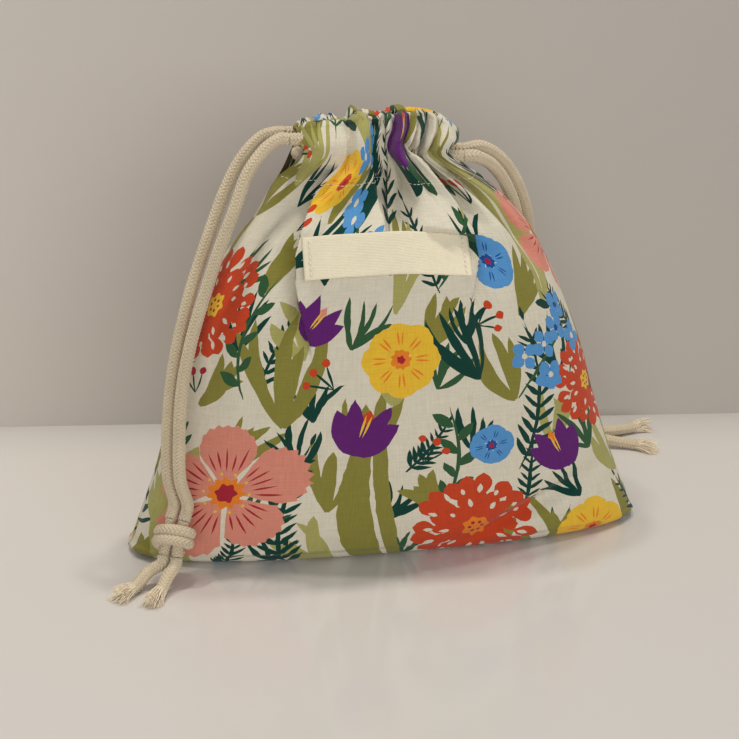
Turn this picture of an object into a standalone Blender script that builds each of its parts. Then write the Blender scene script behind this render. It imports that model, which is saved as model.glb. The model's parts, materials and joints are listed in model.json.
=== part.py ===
"""A drawstring pouch of printed cotton, drawn shut and standing on its folded base.

Two cotton panels are sewn down the sides and along the base. The top of each panel is turned
over into a casing, and two braided cords run through both casings in opposite directions, each
coming out on its own side to an overhand knot and two tails. A tape label is sewn to the front.
Lengths are in millimetres and the functions at the end of each shape turn them into metres.
+X is the viewer's right, +Y is the back and +Z is up.
"""

import math

import bpy
import numpy as np

MM = 0.001

CLOTH = 0.6
GAP = 0.3
SEAM_GAP = 0.2
CORD = 4.5

BASE_SEAM_HALF = 86.0
BASE_TURN = 5.0
STITCH_Z = 131.5
FOLD_Z = 151.3
FOLD_RISE = 1.5
SLIT_FOOT_Z = 114.0

NECK_X = -5.0
NECK_HALF = 27.5
NECK_TILT = -0.03
CORD_Y = 6.2
UPPER_CORD_Z = 144.3
LOWER_CORD_Z = 138.6
CORD_EXIT = 1.5

# The body's outline: height, half width, half depth and squareness of the section.
BODY = np.array([
    (0.0, 93.5, 24.0, 2.50),
    (10.0, 90.0, 26.5, 2.45),
    (33.0, 81.0, 29.0, 2.35),
    (50.0, 75.5, 31.0, 2.30),
    (68.0, 70.5, 32.0, 2.25),
    (85.0, 64.5, 31.0, 2.20),
    (102.0, 56.5, 29.0, 2.15),
    (120.0, 44.5, 25.0, 2.10),
    (131.5, 32.5, 19.5, 2.00),
])

# The gathers of a panel: where each valley is across the flat cloth and across the neck, from
# -1 at the left edge to 1 at the right edge.
VALLEY_CLOTH = np.array([-1.0, -0.54, -0.28, -0.05, 0.13, 0.35, 0.56, 0.78, 1.0])
VALLEY_NECK = np.array([-1.0, -0.27, -0.05, 0.12, 0.27, 0.46, 0.64, 0.82, 1.0])
GATHER_STEPS = [6, 4, 4, 4, 4, 4, 4, 4]
GATHER_DEPTH = 4.8
GATHER_SLENDER = 0.85

# The folds that run down from the neck: cloth position, width, depth and the height they fade at.
FOLDS = [
    (-0.04, 0.075, 12.0, 106.0),
    (-0.55, 0.095, 8.0, 80.0),
    (0.50, 0.09, 9.0, 92.0),
    (-0.80, 0.07, 3.5, 92.0),
    (0.78, 0.08, 4.0, 98.0),
]

BODY_ROWS = [10.0, 20.0, 32.0, 45.0, 58.0, 70.0, 81.0, 91.0, 100.0, 108.0, 115.0, 121.0, 126.5, 131.5]

# The casing's profile: height, and how far the cloth's outer face stands out from the cords' line.
CASING_OUT = [(131.5, 0.6), (134.0, 2.3), (137.6, 3.35), (145.0, 3.35), (149.0, 2.4), (151.3, 1.3)]
CASING_IN = [(151.3, 1.3), (148.6, 2.6), (145.0, 3.35), (137.6, 3.35), (134.0, 2.3), (129.0, 1.4)]

LABEL_WIDTH = 55.0
LABEL_HEIGHT = 14.0
LABEL_THICK = 0.8
LABEL_X = -5.5
LABEL_Z = 111.0
LABEL_LEAN = 20.0
LABEL_STAND = 28.9
LABEL_BOW = 0.0034
THREAD = 0.6

KNOT_SIZE = (13.0, 10.0, 12.0)
STRAND_STEP = 2.5


def clear_scene():
    for obj in list(bpy.data.objects):
        bpy.data.objects.remove(obj, do_unlink=True)


def collection(name):
    made = bpy.data.collections.new(name)
    bpy.context.scene.collection.children.link(made)
    return made


def material(name, colour, roughness):
    made = bpy.data.materials.new(name)
    made.use_nodes = True
    shader = made.node_tree.nodes["Principled BSDF"]
    shader.inputs["Base Color"].default_value = (*colour, 1.0)
    shader.inputs["Roughness"].default_value = roughness
    shader.inputs["Metallic"].default_value = 0.0
    made.diffuse_color = (*colour, 1.0)
    return made


def smoothstep(low, high, value):
    t = np.clip((value - low) / (high - low), 0.0, 1.0)
    return t * t * (3.0 - 2.0 * t)


def body_at(z):
    """Half width, half depth and squareness at a height, smooth between the stations."""
    heights = BODY[:, 0]
    k = int(np.clip(np.searchsorted(heights, z) - 1, 0, len(heights) - 2))
    slopes = np.gradient(BODY[:, 1:], heights, axis=0)
    span = heights[k + 1] - heights[k]
    t = (z - heights[k]) / span
    first = BODY[k, 1:] * (1 + 2 * t) * (1 - t) ** 2 + slopes[k] * span * t * (1 - t) ** 2
    return first + BODY[k + 1, 1:] * t * t * (3 - 2 * t) + slopes[k + 1] * span * t * t * (t - 1)


def half_section(half_width, half_depth, squareness, cloth):
    """The front half of a superellipse, at even steps of cloth, and its outward directions."""
    angle = np.linspace(0.0, math.pi, 721)
    power = 2.0 / squareness
    x = -half_width * np.sign(np.cos(angle)) * np.abs(np.cos(angle)) ** power
    y = -half_depth * np.abs(np.sin(angle)) ** power
    along = np.concatenate([[0.0], np.cumsum(np.hypot(np.diff(x), np.diff(y)))])
    place = (cloth + 1.0) / 2.0 * along[-1]
    found = np.stack([np.interp(place, along, x), np.interp(place, along, y)], axis=1)
    step = along[-1] * 0.01
    after = np.clip(place + step, 0.0, along[-1])
    before = np.clip(place - step, 0.0, along[-1])
    tangent = np.stack(
        [
            np.interp(after, along, x) - np.interp(before, along, x),
            np.interp(after, along, y) - np.interp(before, along, y),
        ],
        axis=1,
    )
    tangent /= np.linalg.norm(tangent, axis=1)[:, None]
    outward = np.stack([tangent[:, 1], -tangent[:, 0]], axis=1)
    outward[0] = (-1.0, 0.0)
    outward[-1] = (1.0, 0.0)
    return found, outward


def gather_columns(side):
    """Cloth position, place across the neck and ripple height of each column of a panel."""
    cloth = []
    neck = []
    ripple = []
    for k, steps in enumerate(GATHER_STEPS):
        width = (VALLEY_NECK[k + 1] - VALLEY_NECK[k]) * NECK_HALF
        depth = min(GATHER_DEPTH, GATHER_SLENDER * width)
        last = k == len(GATHER_STEPS) - 1
        for step in range(steps + (1 if last else 0)):
            t = step / steps
            cloth.append(VALLEY_CLOTH[k] + t * (VALLEY_CLOTH[k + 1] - VALLEY_CLOTH[k]))
            neck.append(VALLEY_NECK[k] + t * (VALLEY_NECK[k + 1] - VALLEY_NECK[k]))
            ripple.append(depth * (0.5 - 0.5 * math.cos(2 * math.pi * t)))
    return side * np.array(cloth)[::side], side * np.array(neck)[::side], np.array(ripple)[::side]


def neck_row(neck, out, z):
    x = NECK_X + NECK_HALF * neck
    return np.stack([x, -(CORD_Y + out), z + NECK_TILT * (x - NECK_X)], axis=1)


def body_row(z, side, cloth, neck, ripple):
    half_width, half_depth, squareness = body_at(z)
    plan, outward = half_section(half_width, half_depth, squareness, cloth)
    drawn = smoothstep(SLIT_FOOT_Z, STITCH_Z, z)
    strength = smoothstep(98.0, 127.0, z)
    casing = neck_row(neck, np.full(len(cloth), CASING_OUT[0][1]), z)
    out = strength * (ripple - (1.0 - drawn) * GATHER_DEPTH * 0.95)
    for place, width, depth, foot in FOLDS:
        fall = smoothstep(foot, foot + 20.0, z)
        valley = np.exp(-(((cloth - side * place) / width) ** 2))
        out = out - depth * fall * math.sqrt(1.0 - drawn) * valley
    direction = (1.0 - drawn) * outward + drawn * np.array([0.0, -1.0])
    direction /= np.linalg.norm(direction, axis=1)[:, None]
    direction[0] = (0.0, -1.0) if drawn > 0 else direction[0]
    direction[-1] = (0.0, -1.0) if drawn > 0 else direction[-1]
    edge = np.ones(len(cloth))
    edge[0] = 0.0
    edge[-1] = 0.0
    out = out * (edge * (1.0 - drawn) + drawn)
    plan[:, 1] -= SEAM_GAP
    flat = (1.0 - drawn) * plan + drawn * casing[:, :2] + direction * out[:, None]
    height = z + drawn * (casing[:, 2] - z)
    return np.column_stack([flat, height])


def base_rows(cloth):
    """The rows under the pouch, from the seam in the middle of its base out to its front edge."""
    plan, _ = half_section(*body_at(0.0), cloth)
    plan[:, 1] -= SEAM_GAP
    seam = np.stack([BASE_SEAM_HALF * cloth, np.full(len(cloth), -SEAM_GAP)], axis=1)
    inward = seam - plan
    reach = np.linalg.norm(inward, axis=1)[:, None]
    inward /= reach
    turn = np.minimum(BASE_TURN, 0.33 * reach)
    foot = plan + inward * turn
    rows = []
    for share in (0.0, 0.5, 1.0):
        rows.append(np.column_stack([seam + share * (foot - seam), np.zeros(len(cloth))]))
    for degrees in (60.0, 30.0):
        angle = math.radians(degrees)
        flat = plan + inward * turn * (1.0 - math.cos(angle))
        rows.append(np.column_stack([flat, turn[:, 0] * (1.0 - math.sin(angle))]))
    return rows


def casing_rows(neck, ripple):
    """The rows of the turned-over top: up the outside, over the fold and down the inside."""
    rows = []
    for z, out in CASING_OUT[1:]:
        strength = 1.0 - 0.45 * smoothstep(145.0, FOLD_Z, z)
        rows.append(neck_row(neck, out + strength * ripple, z))
    outer = CASING_OUT[-1][1] + 0.55 * ripple
    inner = -CASING_IN[0][1] + 0.30 * ripple
    for degrees in (45.0, 90.0, 135.0):
        angle = math.radians(degrees)
        out = (outer + inner) / 2.0 + (outer - inner) / 2.0 * math.cos(angle)
        rows.append(neck_row(neck, out, FOLD_Z + FOLD_RISE * math.sin(angle)))
    for z, out in CASING_IN:
        follow = 0.30 * smoothstep(146.0, FOLD_Z, z)
        rows.append(neck_row(neck, follow * ripple - out, z))
    return rows


def panel_grid(side):
    """The points of a panel: side 1 is the front, and -1 the back with its gathers in reverse."""
    cloth, neck, ripple = gather_columns(side)
    rows = base_rows(cloth)
    for z in BODY_ROWS:
        rows.append(body_row(z, side, cloth, neck, ripple))
    rows.extend(casing_rows(neck, ripple))
    return np.array(rows) * np.array([1.0, side, 1.0])


def panel(name, side, into, paint):
    """A sheet through the grid's points, thickened on its inner side."""
    grid = panel_grid(side)
    rows, columns = grid.shape[:2]
    points = grid.reshape(-1, 3) * MM
    faces = []
    for row in range(rows - 1):
        for column in range(columns - 1):
            corner = row * columns + column
            face = (corner, corner + 1, corner + columns + 1, corner + columns)
            faces.append(face[::side])
    mesh = bpy.data.meshes.new(name)
    mesh.from_pydata(points.tolist(), [], faces)
    obj = bpy.data.objects.new(name, mesh)
    into.objects.link(obj)
    shell = obj.modifiers.new("cloth", "SOLIDIFY")
    shell.thickness = CLOTH * MM
    shell.offset = -1.0
    mesh.materials.append(paint)
    for polygon in mesh.polygons:
        polygon.use_smooth = True
    return obj


def smooth_route(route, step):
    """Evenly spaced points on a smooth curve through hand-chosen ones, straight at both ends."""
    route = np.array(route, float)
    ends = np.vstack([2 * route[0] - route[1], route, 2 * route[-1] - route[-2]])
    fine = []
    for k in range(len(route) - 1):
        a, b, c, d = ends[k : k + 4]
        for t in np.linspace(0.0, 1.0, 24, endpoint=False):
            fine.append(
                0.5 * (2 * b + (c - a) * t + (2 * a - 5 * b + 4 * c - d) * t**2
                       + (3 * b - a - 3 * c + d) * t**3)
            )
    fine.append(route[-1])
    fine = np.array(fine)
    along = np.concatenate([[0.0], np.cumsum(np.linalg.norm(np.diff(fine, axis=0), axis=1))])
    first = along[24]
    last = along[-25]
    places = np.linspace(first, last, max(2, round((last - first) / step) + 1))
    middle = np.stack([np.interp(places, along, fine[:, axis]) for axis in range(3)], axis=1)
    return np.vstack([route[0], middle, route[-1]])


def tube(name, points, diameter, sides, into, paint):
    curve = bpy.data.curves.new(name, "CURVE")
    curve.dimensions = "3D"
    curve.bevel_depth = diameter / 2.0 * MM
    curve.bevel_resolution = sides
    curve.use_fill_caps = True
    spline = curve.splines.new("POLY")
    spline.points.add(len(points) - 1)
    for place, point in zip(spline.points, points):
        place.co = (*(np.array(point) * MM), 1.0)
    obj = bpy.data.objects.new(name, curve)
    into.objects.link(obj)
    curve.materials.append(paint)
    return obj


def cord_in_casing(exit_side, z):
    """Through the front casing, round beyond its far end, and back through the other casing."""
    near = NECK_X + exit_side * (NECK_HALF + CORD_EXIT)
    far = NECK_X - exit_side * (NECK_HALF - 1.0)
    route = []
    for x in np.linspace(near, far, 5):
        route.append((x, -CORD_Y, z + NECK_TILT * (x - NECK_X)))
    for degrees in (30.0, 60.0, 90.0, 120.0, 150.0):
        angle = math.radians(degrees)
        x = far - exit_side * (CORD_Y + 1.0) * math.sin(angle)
        route.append((x, -CORD_Y * math.cos(angle), z + NECK_TILT * (x - NECK_X)))
    for x in np.linspace(far, near, 5):
        route.append((x, CORD_Y, z + NECK_TILT * (x - NECK_X)))
    return smooth_route(route, CORD * 1.2)


def run_from(exit_side, side, z, route):
    """A strand that leaves a casing straight and then follows its route to the knot."""
    x = NECK_X + exit_side * (NECK_HALF + CORD_EXIT + GAP)
    start = (x, side * CORD_Y, z + NECK_TILT * (x - NECK_X))
    beside = (x + exit_side * 3.0, side * CORD_Y, z + NECK_TILT * (x + exit_side * 3.0 - NECK_X))
    return smooth_route([start, beside, *route], CORD * 1.6)


class Knot:
    """A tightened knot: strands meet its back face and tails leave its front face."""

    def __init__(self, centre, ahead, across):
        self.centre = np.array(centre, float)
        self.ahead = np.array(ahead, float) / np.linalg.norm(ahead)
        across = np.array(across, float)
        across -= self.ahead * (across @ self.ahead)
        self.across = across / np.linalg.norm(across)
        self.up = np.cross(self.ahead, self.across)

    def place(self, side, beyond):
        """A point in front of a face, on the line of one of the two strands."""
        step = self.across * STRAND_STEP * side
        face = KNOT_SIZE[2] / 2.0
        return self.centre + step + self.ahead * math.copysign(face + abs(beyond), beyond)

    def build(self, name, into, paint):
        half = np.array(KNOT_SIZE) / 2.0
        corners = []
        for a in (-1, 1):
            for b in (-1, 1):
                for c in (-1, 1):
                    offset = a * half[0] * self.across + b * half[1] * self.up + c * half[2] * self.ahead
                    corners.append((self.centre + offset) * MM)
        faces = [(0, 1, 3, 2), (4, 6, 7, 5), (0, 4, 5, 1), (2, 3, 7, 6), (0, 2, 6, 4), (1, 5, 7, 3)]
        mesh = bpy.data.meshes.new(name)
        mesh.from_pydata([tuple(corner) for corner in corners], [], faces)
        obj = bpy.data.objects.new(name, mesh)
        into.objects.link(obj)
        bevel = obj.modifiers.new("rounded", "BEVEL")
        bevel.width = 1.2 * MM
        bevel.segments = 2
        bevel.limit_method = "NONE"
        mesh.materials.append(paint)
        return obj


def label(into, paint):
    """A tape bowed over the front of the pouch and leaning back with it."""
    columns = 13
    points = []
    for row in (-0.5, 0.5):
        for k in range(columns):
            x = (k / (columns - 1) - 0.5) * LABEL_WIDTH
            points.append(label_point(x, row * LABEL_HEIGHT, 0.0))
    faces = []
    for k in range(columns - 1):
        faces.append((k, k + 1, columns + k + 1, columns + k))
    mesh = bpy.data.meshes.new("label_tape")
    mesh.from_pydata([tuple(point * MM) for point in points], [], faces)
    obj = bpy.data.objects.new("label_tape", mesh)
    into.objects.link(obj)
    shell = obj.modifiers.new("tape", "SOLIDIFY")
    shell.thickness = LABEL_THICK * MM
    shell.offset = 1.0
    mesh.materials.append(paint)
    return obj


def label_point(across, up, out):
    """A point on the label, out from its back face."""
    lean = math.radians(LABEL_LEAN)
    depth = LABEL_STAND - LABEL_BOW * across * across
    y = -depth + up * math.sin(lean) - out * math.cos(lean)
    z = LABEL_Z + up * math.cos(lean) + out * math.sin(lean)
    return np.array([LABEL_X + across, y, z])


def label_stitch(side):
    across = side * (LABEL_WIDTH / 2.0 - 2.2)
    out = LABEL_THICK + GAP + THREAD / 2.0
    return [label_point(across, up, out) for up in np.linspace(-5.2, 5.2, 4)]


def casing_stitch(side):
    """The line of stitches under a casing, just outside the cloth."""
    row = 5 + len(BODY_ROWS) - 1
    return panel_grid(side)[row] + np.array([0.0, -1.5 * side, 0.0])


def side_seam(side):
    route = []
    for z in np.linspace(8.0, SLIT_FOOT_Z - 4.0, 9):
        inset = CLOTH + GAP + 0.9
        route.append((side * (body_at(z)[0] - inset), 0.0, z))
    return smooth_route(route, 9.0)


def build():
    clear_scene()
    parts = collection("drawstring_pouch")
    front_cotton = material("front_cotton", (0.80, 0.75, 0.64), 0.9)
    back_cotton = material("back_cotton", (0.80, 0.75, 0.64), 0.9)
    tape = material("label_tape", (0.84, 0.79, 0.68), 0.85)
    white_thread = material("white_thread", (0.86, 0.84, 0.78), 0.7)
    cord_cotton = material("cord_cotton", (0.72, 0.64, 0.50), 0.9)

    panel("front_panel", 1, parts, front_cotton)
    panel("back_panel", -1, parts, back_cotton)
    label(parts, tape)
    tube("label_stitch_left", label_stitch(-1), THREAD, 1, parts, white_thread)
    tube("label_stitch_right", label_stitch(1), THREAD, 1, parts, white_thread)
    tube("front_casing_stitch", casing_stitch(1), THREAD, 1, parts, white_thread)
    tube("back_casing_stitch", casing_stitch(-1), THREAD, 1, parts, white_thread)
    tube("left_side_seam_thread", side_seam(-1), 1.4, 1, parts, white_thread)
    tube("right_side_seam_thread", side_seam(1), 1.4, 1, parts, white_thread)
    base_z = CLOTH + GAP + 0.8
    base = [(x, 0.0, base_z) for x in np.linspace(-BASE_SEAM_HALF + 4, BASE_SEAM_HALF - 4, 6)]
    tube("bottom_seam_thread", base, 1.4, 1, parts, white_thread)

    left_knot = Knot((-78.3, -26.0, 15.5), (-0.26, -0.425, -0.866), (-0.85, 0.52, 0.0))
    right_knot = Knot((89.0, 62.0, 5.4), (1.0, 0.12, 0.0), (0.0, 1.0, 0.0))
    left_knot.build("left_knot", parts, cord_cotton)
    right_knot.build("right_knot", parts, cord_cotton)

    tube("left_cord_in_casing", cord_in_casing(-1, UPPER_CORD_Z), CORD, 2, parts, cord_cotton)
    tube("right_cord_in_casing", cord_in_casing(1, LOWER_CORD_Z), CORD, 2, parts, cord_cotton)

    left_back = [
        (-42.5, 5.8, 143.6), (-49.5, 2.6, 137.0), (-55.6, -1.5, 127.0), (-61.3, -6.0, 114.5),
        (-67.2, -10.0, 100.0), (-72.3, -13.0, 84.0), (-76.2, -15.5, 67.0), (-78.4, -18.0, 50.0),
        (-79.0, -20.0, 36.0), left_knot.place(1, -6.0), left_knot.place(1, -GAP),
    ]
    left_front = [
        (-42.5, -7.8, 142.2), (-48.5, -10.5, 135.0), (-53.6, -13.5, 123.5), (-58.8, -15.0, 111.5),
        (-64.0, -16.5, 97.5), (-69.4, -18.5, 81.5), (-73.2, -20.5, 65.0), (-74.8, -22.5, 50.0),
        (-75.2, -24.0, 36.0), left_knot.place(-1, -6.0), left_knot.place(-1, -GAP),
    ]
    right_back = [
        (34.0, 7.6, 138.0), (41.6, 11.0, 133.5), (48.4, 15.5, 125.5), (54.3, 21.0, 114.0),
        (58.6, 28.0, 100.0), (62.0, 37.0, 80.0), (65.5, 47.0, 55.0), (68.5, 56.0, 30.0),
        (72.3, 62.5, 14.0), right_knot.place(1, -5.0), right_knot.place(1, -GAP),
    ]
    right_front = [
        (29.8, -5.0, 136.8), (36.0, 0.5, 133.0), (42.6, 7.0, 125.5), (48.4, 13.5, 115.0),
        (53.2, 21.5, 101.0), (57.4, 31.0, 81.0), (62.0, 41.5, 55.5), (66.5, 50.5, 30.0),
        (72.0, 57.0, 14.0), right_knot.place(-1, -5.0), right_knot.place(-1, -GAP),
    ]
    runs = [
        ("left_cord_back_run", -1, 1, UPPER_CORD_Z, left_back),
        ("left_cord_front_run", -1, -1, UPPER_CORD_Z, left_front),
        ("right_cord_back_run", 1, 1, LOWER_CORD_Z, right_back),
        ("right_cord_front_run", 1, -1, LOWER_CORD_Z, right_front),
    ]
    for name, exit_side, side, z, route in runs:
        tube(name, run_from(exit_side, side, z, route), CORD, 2, parts, cord_cotton)

    rest = CORD / 2.0 + 0.05
    tails = [
        ("left_tail_back", left_knot, 1, [(-87.6, -29.5, 5.2), (-92.0, -33.4, rest), (-97.4, -38.4, rest)]),
        ("left_tail_front", left_knot, -1, [(-81.4, -34.4, 5.2), (-84.0, -38.4, rest), (-86.9, -43.6, rest)]),
        ("right_tail_back", right_knot, 1, [(106.0, 68.6, 3.4), (116.0, 71.6, rest), (128.0, 74.9, rest)]),
        ("right_tail_front", right_knot, -1, [(105.0, 59.4, 3.4), (113.5, 56.2, rest), (122.0, 51.0, rest)]),
    ]
    for name, knot, side, route in tails:
        points = smooth_route([knot.place(side, GAP), knot.place(side, 3.0), *route], CORD * 1.2)
        tube(name, points, CORD, 2, parts, cord_cotton)


build()
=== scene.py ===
"""The looks of the drawstring pouch: printed cotton, braided cords, knots, label and stitches.

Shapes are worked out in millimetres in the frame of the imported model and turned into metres
where a mesh is made. A point on a panel is named by its place on the flat cloth: across from
-1 at the left seam to 1 at the right one, and up in millimetres from the seam in the base.
"""

import json
import math

import bpy
import numpy as np
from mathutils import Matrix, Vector
from mathutils.geometry import delaunay_2d_cdt

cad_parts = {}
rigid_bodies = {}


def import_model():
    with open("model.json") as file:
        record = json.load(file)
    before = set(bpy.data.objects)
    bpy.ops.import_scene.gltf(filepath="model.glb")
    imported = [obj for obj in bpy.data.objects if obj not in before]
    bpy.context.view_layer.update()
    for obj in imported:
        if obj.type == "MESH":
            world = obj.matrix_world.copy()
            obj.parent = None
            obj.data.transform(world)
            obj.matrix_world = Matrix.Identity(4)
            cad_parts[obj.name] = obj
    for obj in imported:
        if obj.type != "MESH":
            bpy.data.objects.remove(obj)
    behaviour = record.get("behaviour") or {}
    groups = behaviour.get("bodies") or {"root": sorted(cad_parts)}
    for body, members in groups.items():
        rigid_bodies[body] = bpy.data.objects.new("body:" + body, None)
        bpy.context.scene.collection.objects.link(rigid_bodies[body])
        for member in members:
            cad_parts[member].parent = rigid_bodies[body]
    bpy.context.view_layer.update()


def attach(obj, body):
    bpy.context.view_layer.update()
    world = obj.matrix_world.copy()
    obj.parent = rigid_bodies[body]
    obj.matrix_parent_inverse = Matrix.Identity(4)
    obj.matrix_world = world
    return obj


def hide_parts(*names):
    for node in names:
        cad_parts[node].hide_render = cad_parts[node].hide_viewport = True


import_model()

MM = 0.001
TURN = 2.0 * math.pi
HALF_TURN = np.radians([30.0, 60.0, 90.0, 120.0, 150.0])

# The photograph's camera, in millimetres, degrees and pixels.
PHOTO_SIDE = 739.0
CAMERA_PLACE = (-93.4, -469.0, 230.0)
CAMERA_YAW = 10.5
CAMERA_PITCH = 19.4
CAMERA_FOCAL = 1440.0
SENSOR = 36.0

# The pouch, as in the part's source.
CORD = 4.5
CORD_Y = 6.2
CORD_EXIT = 1.5
CORD_GAP = 0.3
UPPER_CORD_Z = 144.3
LOWER_CORD_Z = 138.6
CORD_EXITS = {"left": (-1, UPPER_CORD_Z), "right": (1, LOWER_CORD_Z)}
NECK_X = -5.0
NECK_HALF = 27.5
NECK_TILT = -0.03
STITCH_Z = 131.5
FOLD_Z = 151.3
BASE_SEAM_HALF = 86.0
BASE_TURN = 5.0
# Height, middle, half width, half depth and squareness of the body's section.
BODY = np.array([
    (0.0, 0.0, 93.5, 24.0, 2.50),
    (10.0, 0.0, 90.0, 26.5, 2.45),
    (33.0, -0.5, 81.0, 29.0, 2.35),
    (50.0, -1.0, 75.8, 31.0, 2.30),
    (68.0, -1.5, 71.0, 32.0, 2.25),
    (85.0, -2.0, 65.0, 31.5, 2.20),
    (102.0, -1.5, 56.8, 29.5, 2.15),
    (120.0, -0.7, 45.6, 26.5, 2.10),
    (131.5, -2.0, 41.5, 22.5, 2.00),
    (141.0, -4.0, 36.0, 18.0, 2.00),
])
# Height, middle and half width of the gathered neck, and how far it stands out from the cords.
NECK = np.array([
    (112.0, -0.5, 38.0, 3.2),
    (120.0, -1.5, 37.0, 3.6),
    (127.0, -3.0, 34.5, 3.9),
    (131.5, -3.8, 31.5, 3.9),
    (136.0, -4.8, 27.8, 3.7),
    (141.0, -5.9, 24.4, 3.4),
    (145.0, -5.4, 25.0, 3.0),
    (148.0, -4.6, 26.4, 1.2),
    (151.3, -4.2, 27.2, -1.8),
])
NECK_FOOT = 112.0
PINCH_Z = 141.0

# The flat cloth of a panel.
FLAT_WIDTH = 196.0
BASE_LENGTH = 22.0
BODY_LENGTH = 146.0
CASING_LENGTH = 21.0
HEM_LENGTH = 24.0
STITCH_ROW = BASE_LENGTH + BODY_LENGTH
FLAT_LENGTH = STITCH_ROW + CASING_LENGTH + HEM_LENGTH

# The gathers: each valley's place across the flat cloth and across the drawn neck, how far each
# pleat stands out, the height at which it has died away, and how far it rises at the top.
VALLEY_CLOTH = np.array([-1.0, -0.60, -0.34, -0.14, 0.04, 0.22, 0.38, 0.52, 0.70, 1.0])
VALLEY_NECK = np.array([-1.0, -0.39, -0.13, 0.04, 0.20, 0.35, 0.47, 0.58, 0.73, 1.0])
PLEAT_OUT = np.array([4.6, 7.4, 3.4, 4.6, 6.8, 4.4, 4.4, 5.8, 4.6])
PLEAT_FOOT = np.array([112.0, 122.0, 124.0, 124.0, 122.0, 118.0, 112.0, 106.0, 104.0])
PLEAT_RISE = np.array([0.2, 1.5, -0.9, 0.5, 1.3, -0.3, 0.8, 0.5, -0.2])
# The height where the pleats are full, and how far the cloth sinks between them below the neck.
PLEAT_TOP = 139.0
PLEAT_SINK = 4.2
# Place across the neck, and how far the casing's fold lies above its height there.
TOP_LIFT = np.array([
    (-1.0, -5.6), (-0.9, -3.4), (-0.75, -2.8), (-0.45, -2.6), (-0.39, -3.2), (-0.26, -0.6), (-0.13, -1.2),
    (0.04, 0.0), (0.2, -1.2), (0.42, 0.6), (0.62, -0.3), (0.84, -2.0), (1.0, -5.2),
])
# How far the middle of the neck is drawn in between its two proud folds, up to a height.
RECESS_PLACE = 0.06
RECESS_WIDTH = 0.17
RECESS_DEPTH = 3.2
RECESS_TOP = 144.0

# The hollows that run down from the neck: cloth place at the neck and at the foot, the widths of
# their left and right flanks, depth and the height they fade at.
HOLLOWS = [
    (0.0, -0.02, 0.070, 0.085, 16.0, 105.0),
    (-0.84, -0.80, 0.060, 0.080, 3.0, 88.0),
    (0.66, 0.78, 0.060, 0.060, 5.5, 92.0),
    (-0.42, -0.46, 0.050, 0.060, 2.2, 58.0),
    (0.30, 0.40, 0.050, 0.070, 2.0, 50.0),
]
# The height over which a hollow or a fold grows from nothing.
FOLD_FADE = 26.0
# Waves of small wrinkles: how many across, how fast they change upwards, phase and height.
WRINKLES = [
    (5.1, 0.031, 0.4, 0.55), (8.3, -0.052, 1.7, 0.35), (11.7, 0.083, 2.9, 0.25),
    (3.2, 0.094, 4.2, 0.40), (14.9, 0.021, 5.3, 0.22), (6.4, -0.121, 0.9, 0.25),
]

# Folds of the front that lie over the cloth beside them: heights and places across up the crest,
# the side that falls away, the crest's rise and the hollow's depth beyond it.
LEFT_CREST = np.array([
    (74.0, -30.0), (88.0, -31.6), (101.0, -33.0), (111.0, -32.0),
    (118.0, -29.4), (129.0, -24.2), (134.8, -20.2), (138.6, -16.3),
])
RIGHT_CREST = np.array([
    (84.0, 20.0), (98.0, 21.6), (108.0, 21.8), (117.6, 20.2),
    (124.6, 16.4), (132.2, 11.0), (139.6, 6.1), (144.9, -0.7),
])
CRESTS = [(LEFT_CREST, -1.0, 4.2, 4.4), (RIGHT_CREST, 1.0, 4.6, 6.6)]
CREST_WIDTH = 1.9
CREST_REACH = 13.0
CREST_LIP = 2.4
CREST_LIP_REACH = 4.5
# The narrow slot where the two middle folds meet: height, middle, half width and depth.
SLOT = np.array([
    (116.0, -4.2, 0.9, 0.0),
    (122.0, -4.4, 2.0, 6.0),
    (130.0, -4.6, 3.2, 10.0),
    (136.0, -4.8, 3.4, 8.0),
    (142.0, -5.4, 3.5, 5.5),
    (151.3, -5.8, 3.4, 3.0),
])
SLOT_LIP = 1.8
# A shallow fold low on the right of the front, where the cloth slumps on itself.
CREASE_START = np.array([26.0, 6.0])
CREASE_END = np.array([66.0, 23.0])
CREASE_DEPTH = 4.4
CREASE_WIDTH = 3.4
# How far the cloth dips in at the side seams.
SEAM_DIP = 1.1

# Height, and how far the outer cloth keeps from the middle plane, to clear the hem and the cords.
CLEARANCE = np.array([(118.0, 0.0), (126.0, 5.2), (132.0, 5.6), (136.0, 8.8), (147.3, 8.8), (151.3, 4.6)])
# Height, and how far the hem inside lies from the middle plane. It follows the gathers by a share,
# and is a little narrower than the neck.
HEM = np.array([(129.0, 4.2), (134.0, 3.6), (137.6, 3.1), (145.0, 2.9), (148.6, 1.9), (151.3, 0.8)])
HEM_RIPPLE = 0.22
HEM_WIDTH = 0.985

# The label: its middle, how far it leans back in degrees, stands out, curves back towards its ends
# and arches, and how far its right end turns back further and droops.
LABEL_WIDTH = 55.0
LABEL_HEIGHT = 14.0
LABEL_THICK = 0.8
LABEL_X = -5.5
LABEL_Z = 111.0
LABEL_LEAN = 22.0
LABEL_ARCH = 1.3
LABEL_TURN = 12.0
LABEL_DROOP = 1.5
LABEL_STAND = 28.9
LABEL_BOW = 0.0034
# The stitches: the label's place across, number, margin and radius, and the casing's step,
# length and radius.
LABEL_STITCH = 25.3
LABEL_STITCHES = 7
LABEL_STITCH_MARGIN = 0.8
LABEL_THREAD = 0.24
CASING_STITCH_STEP = 2.9
CASING_STITCH = 2.1
CASING_THREAD = 0.11

# The cords' braid, and as shares of its diameter: how far from the middle its strands run, how far
# they rise over each other, their half thickness and half width, and the radius of its core.
STRANDS = 8
BRAID_PITCH = 9.8
BRAID_STEP = BRAID_PITCH / 24.0
BRAID_REACH = 0.37
BRAID_RISE = 0.045
STRAND_THICK = 0.085
STRAND_WIDE = 0.125
CORE = 0.35
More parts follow.
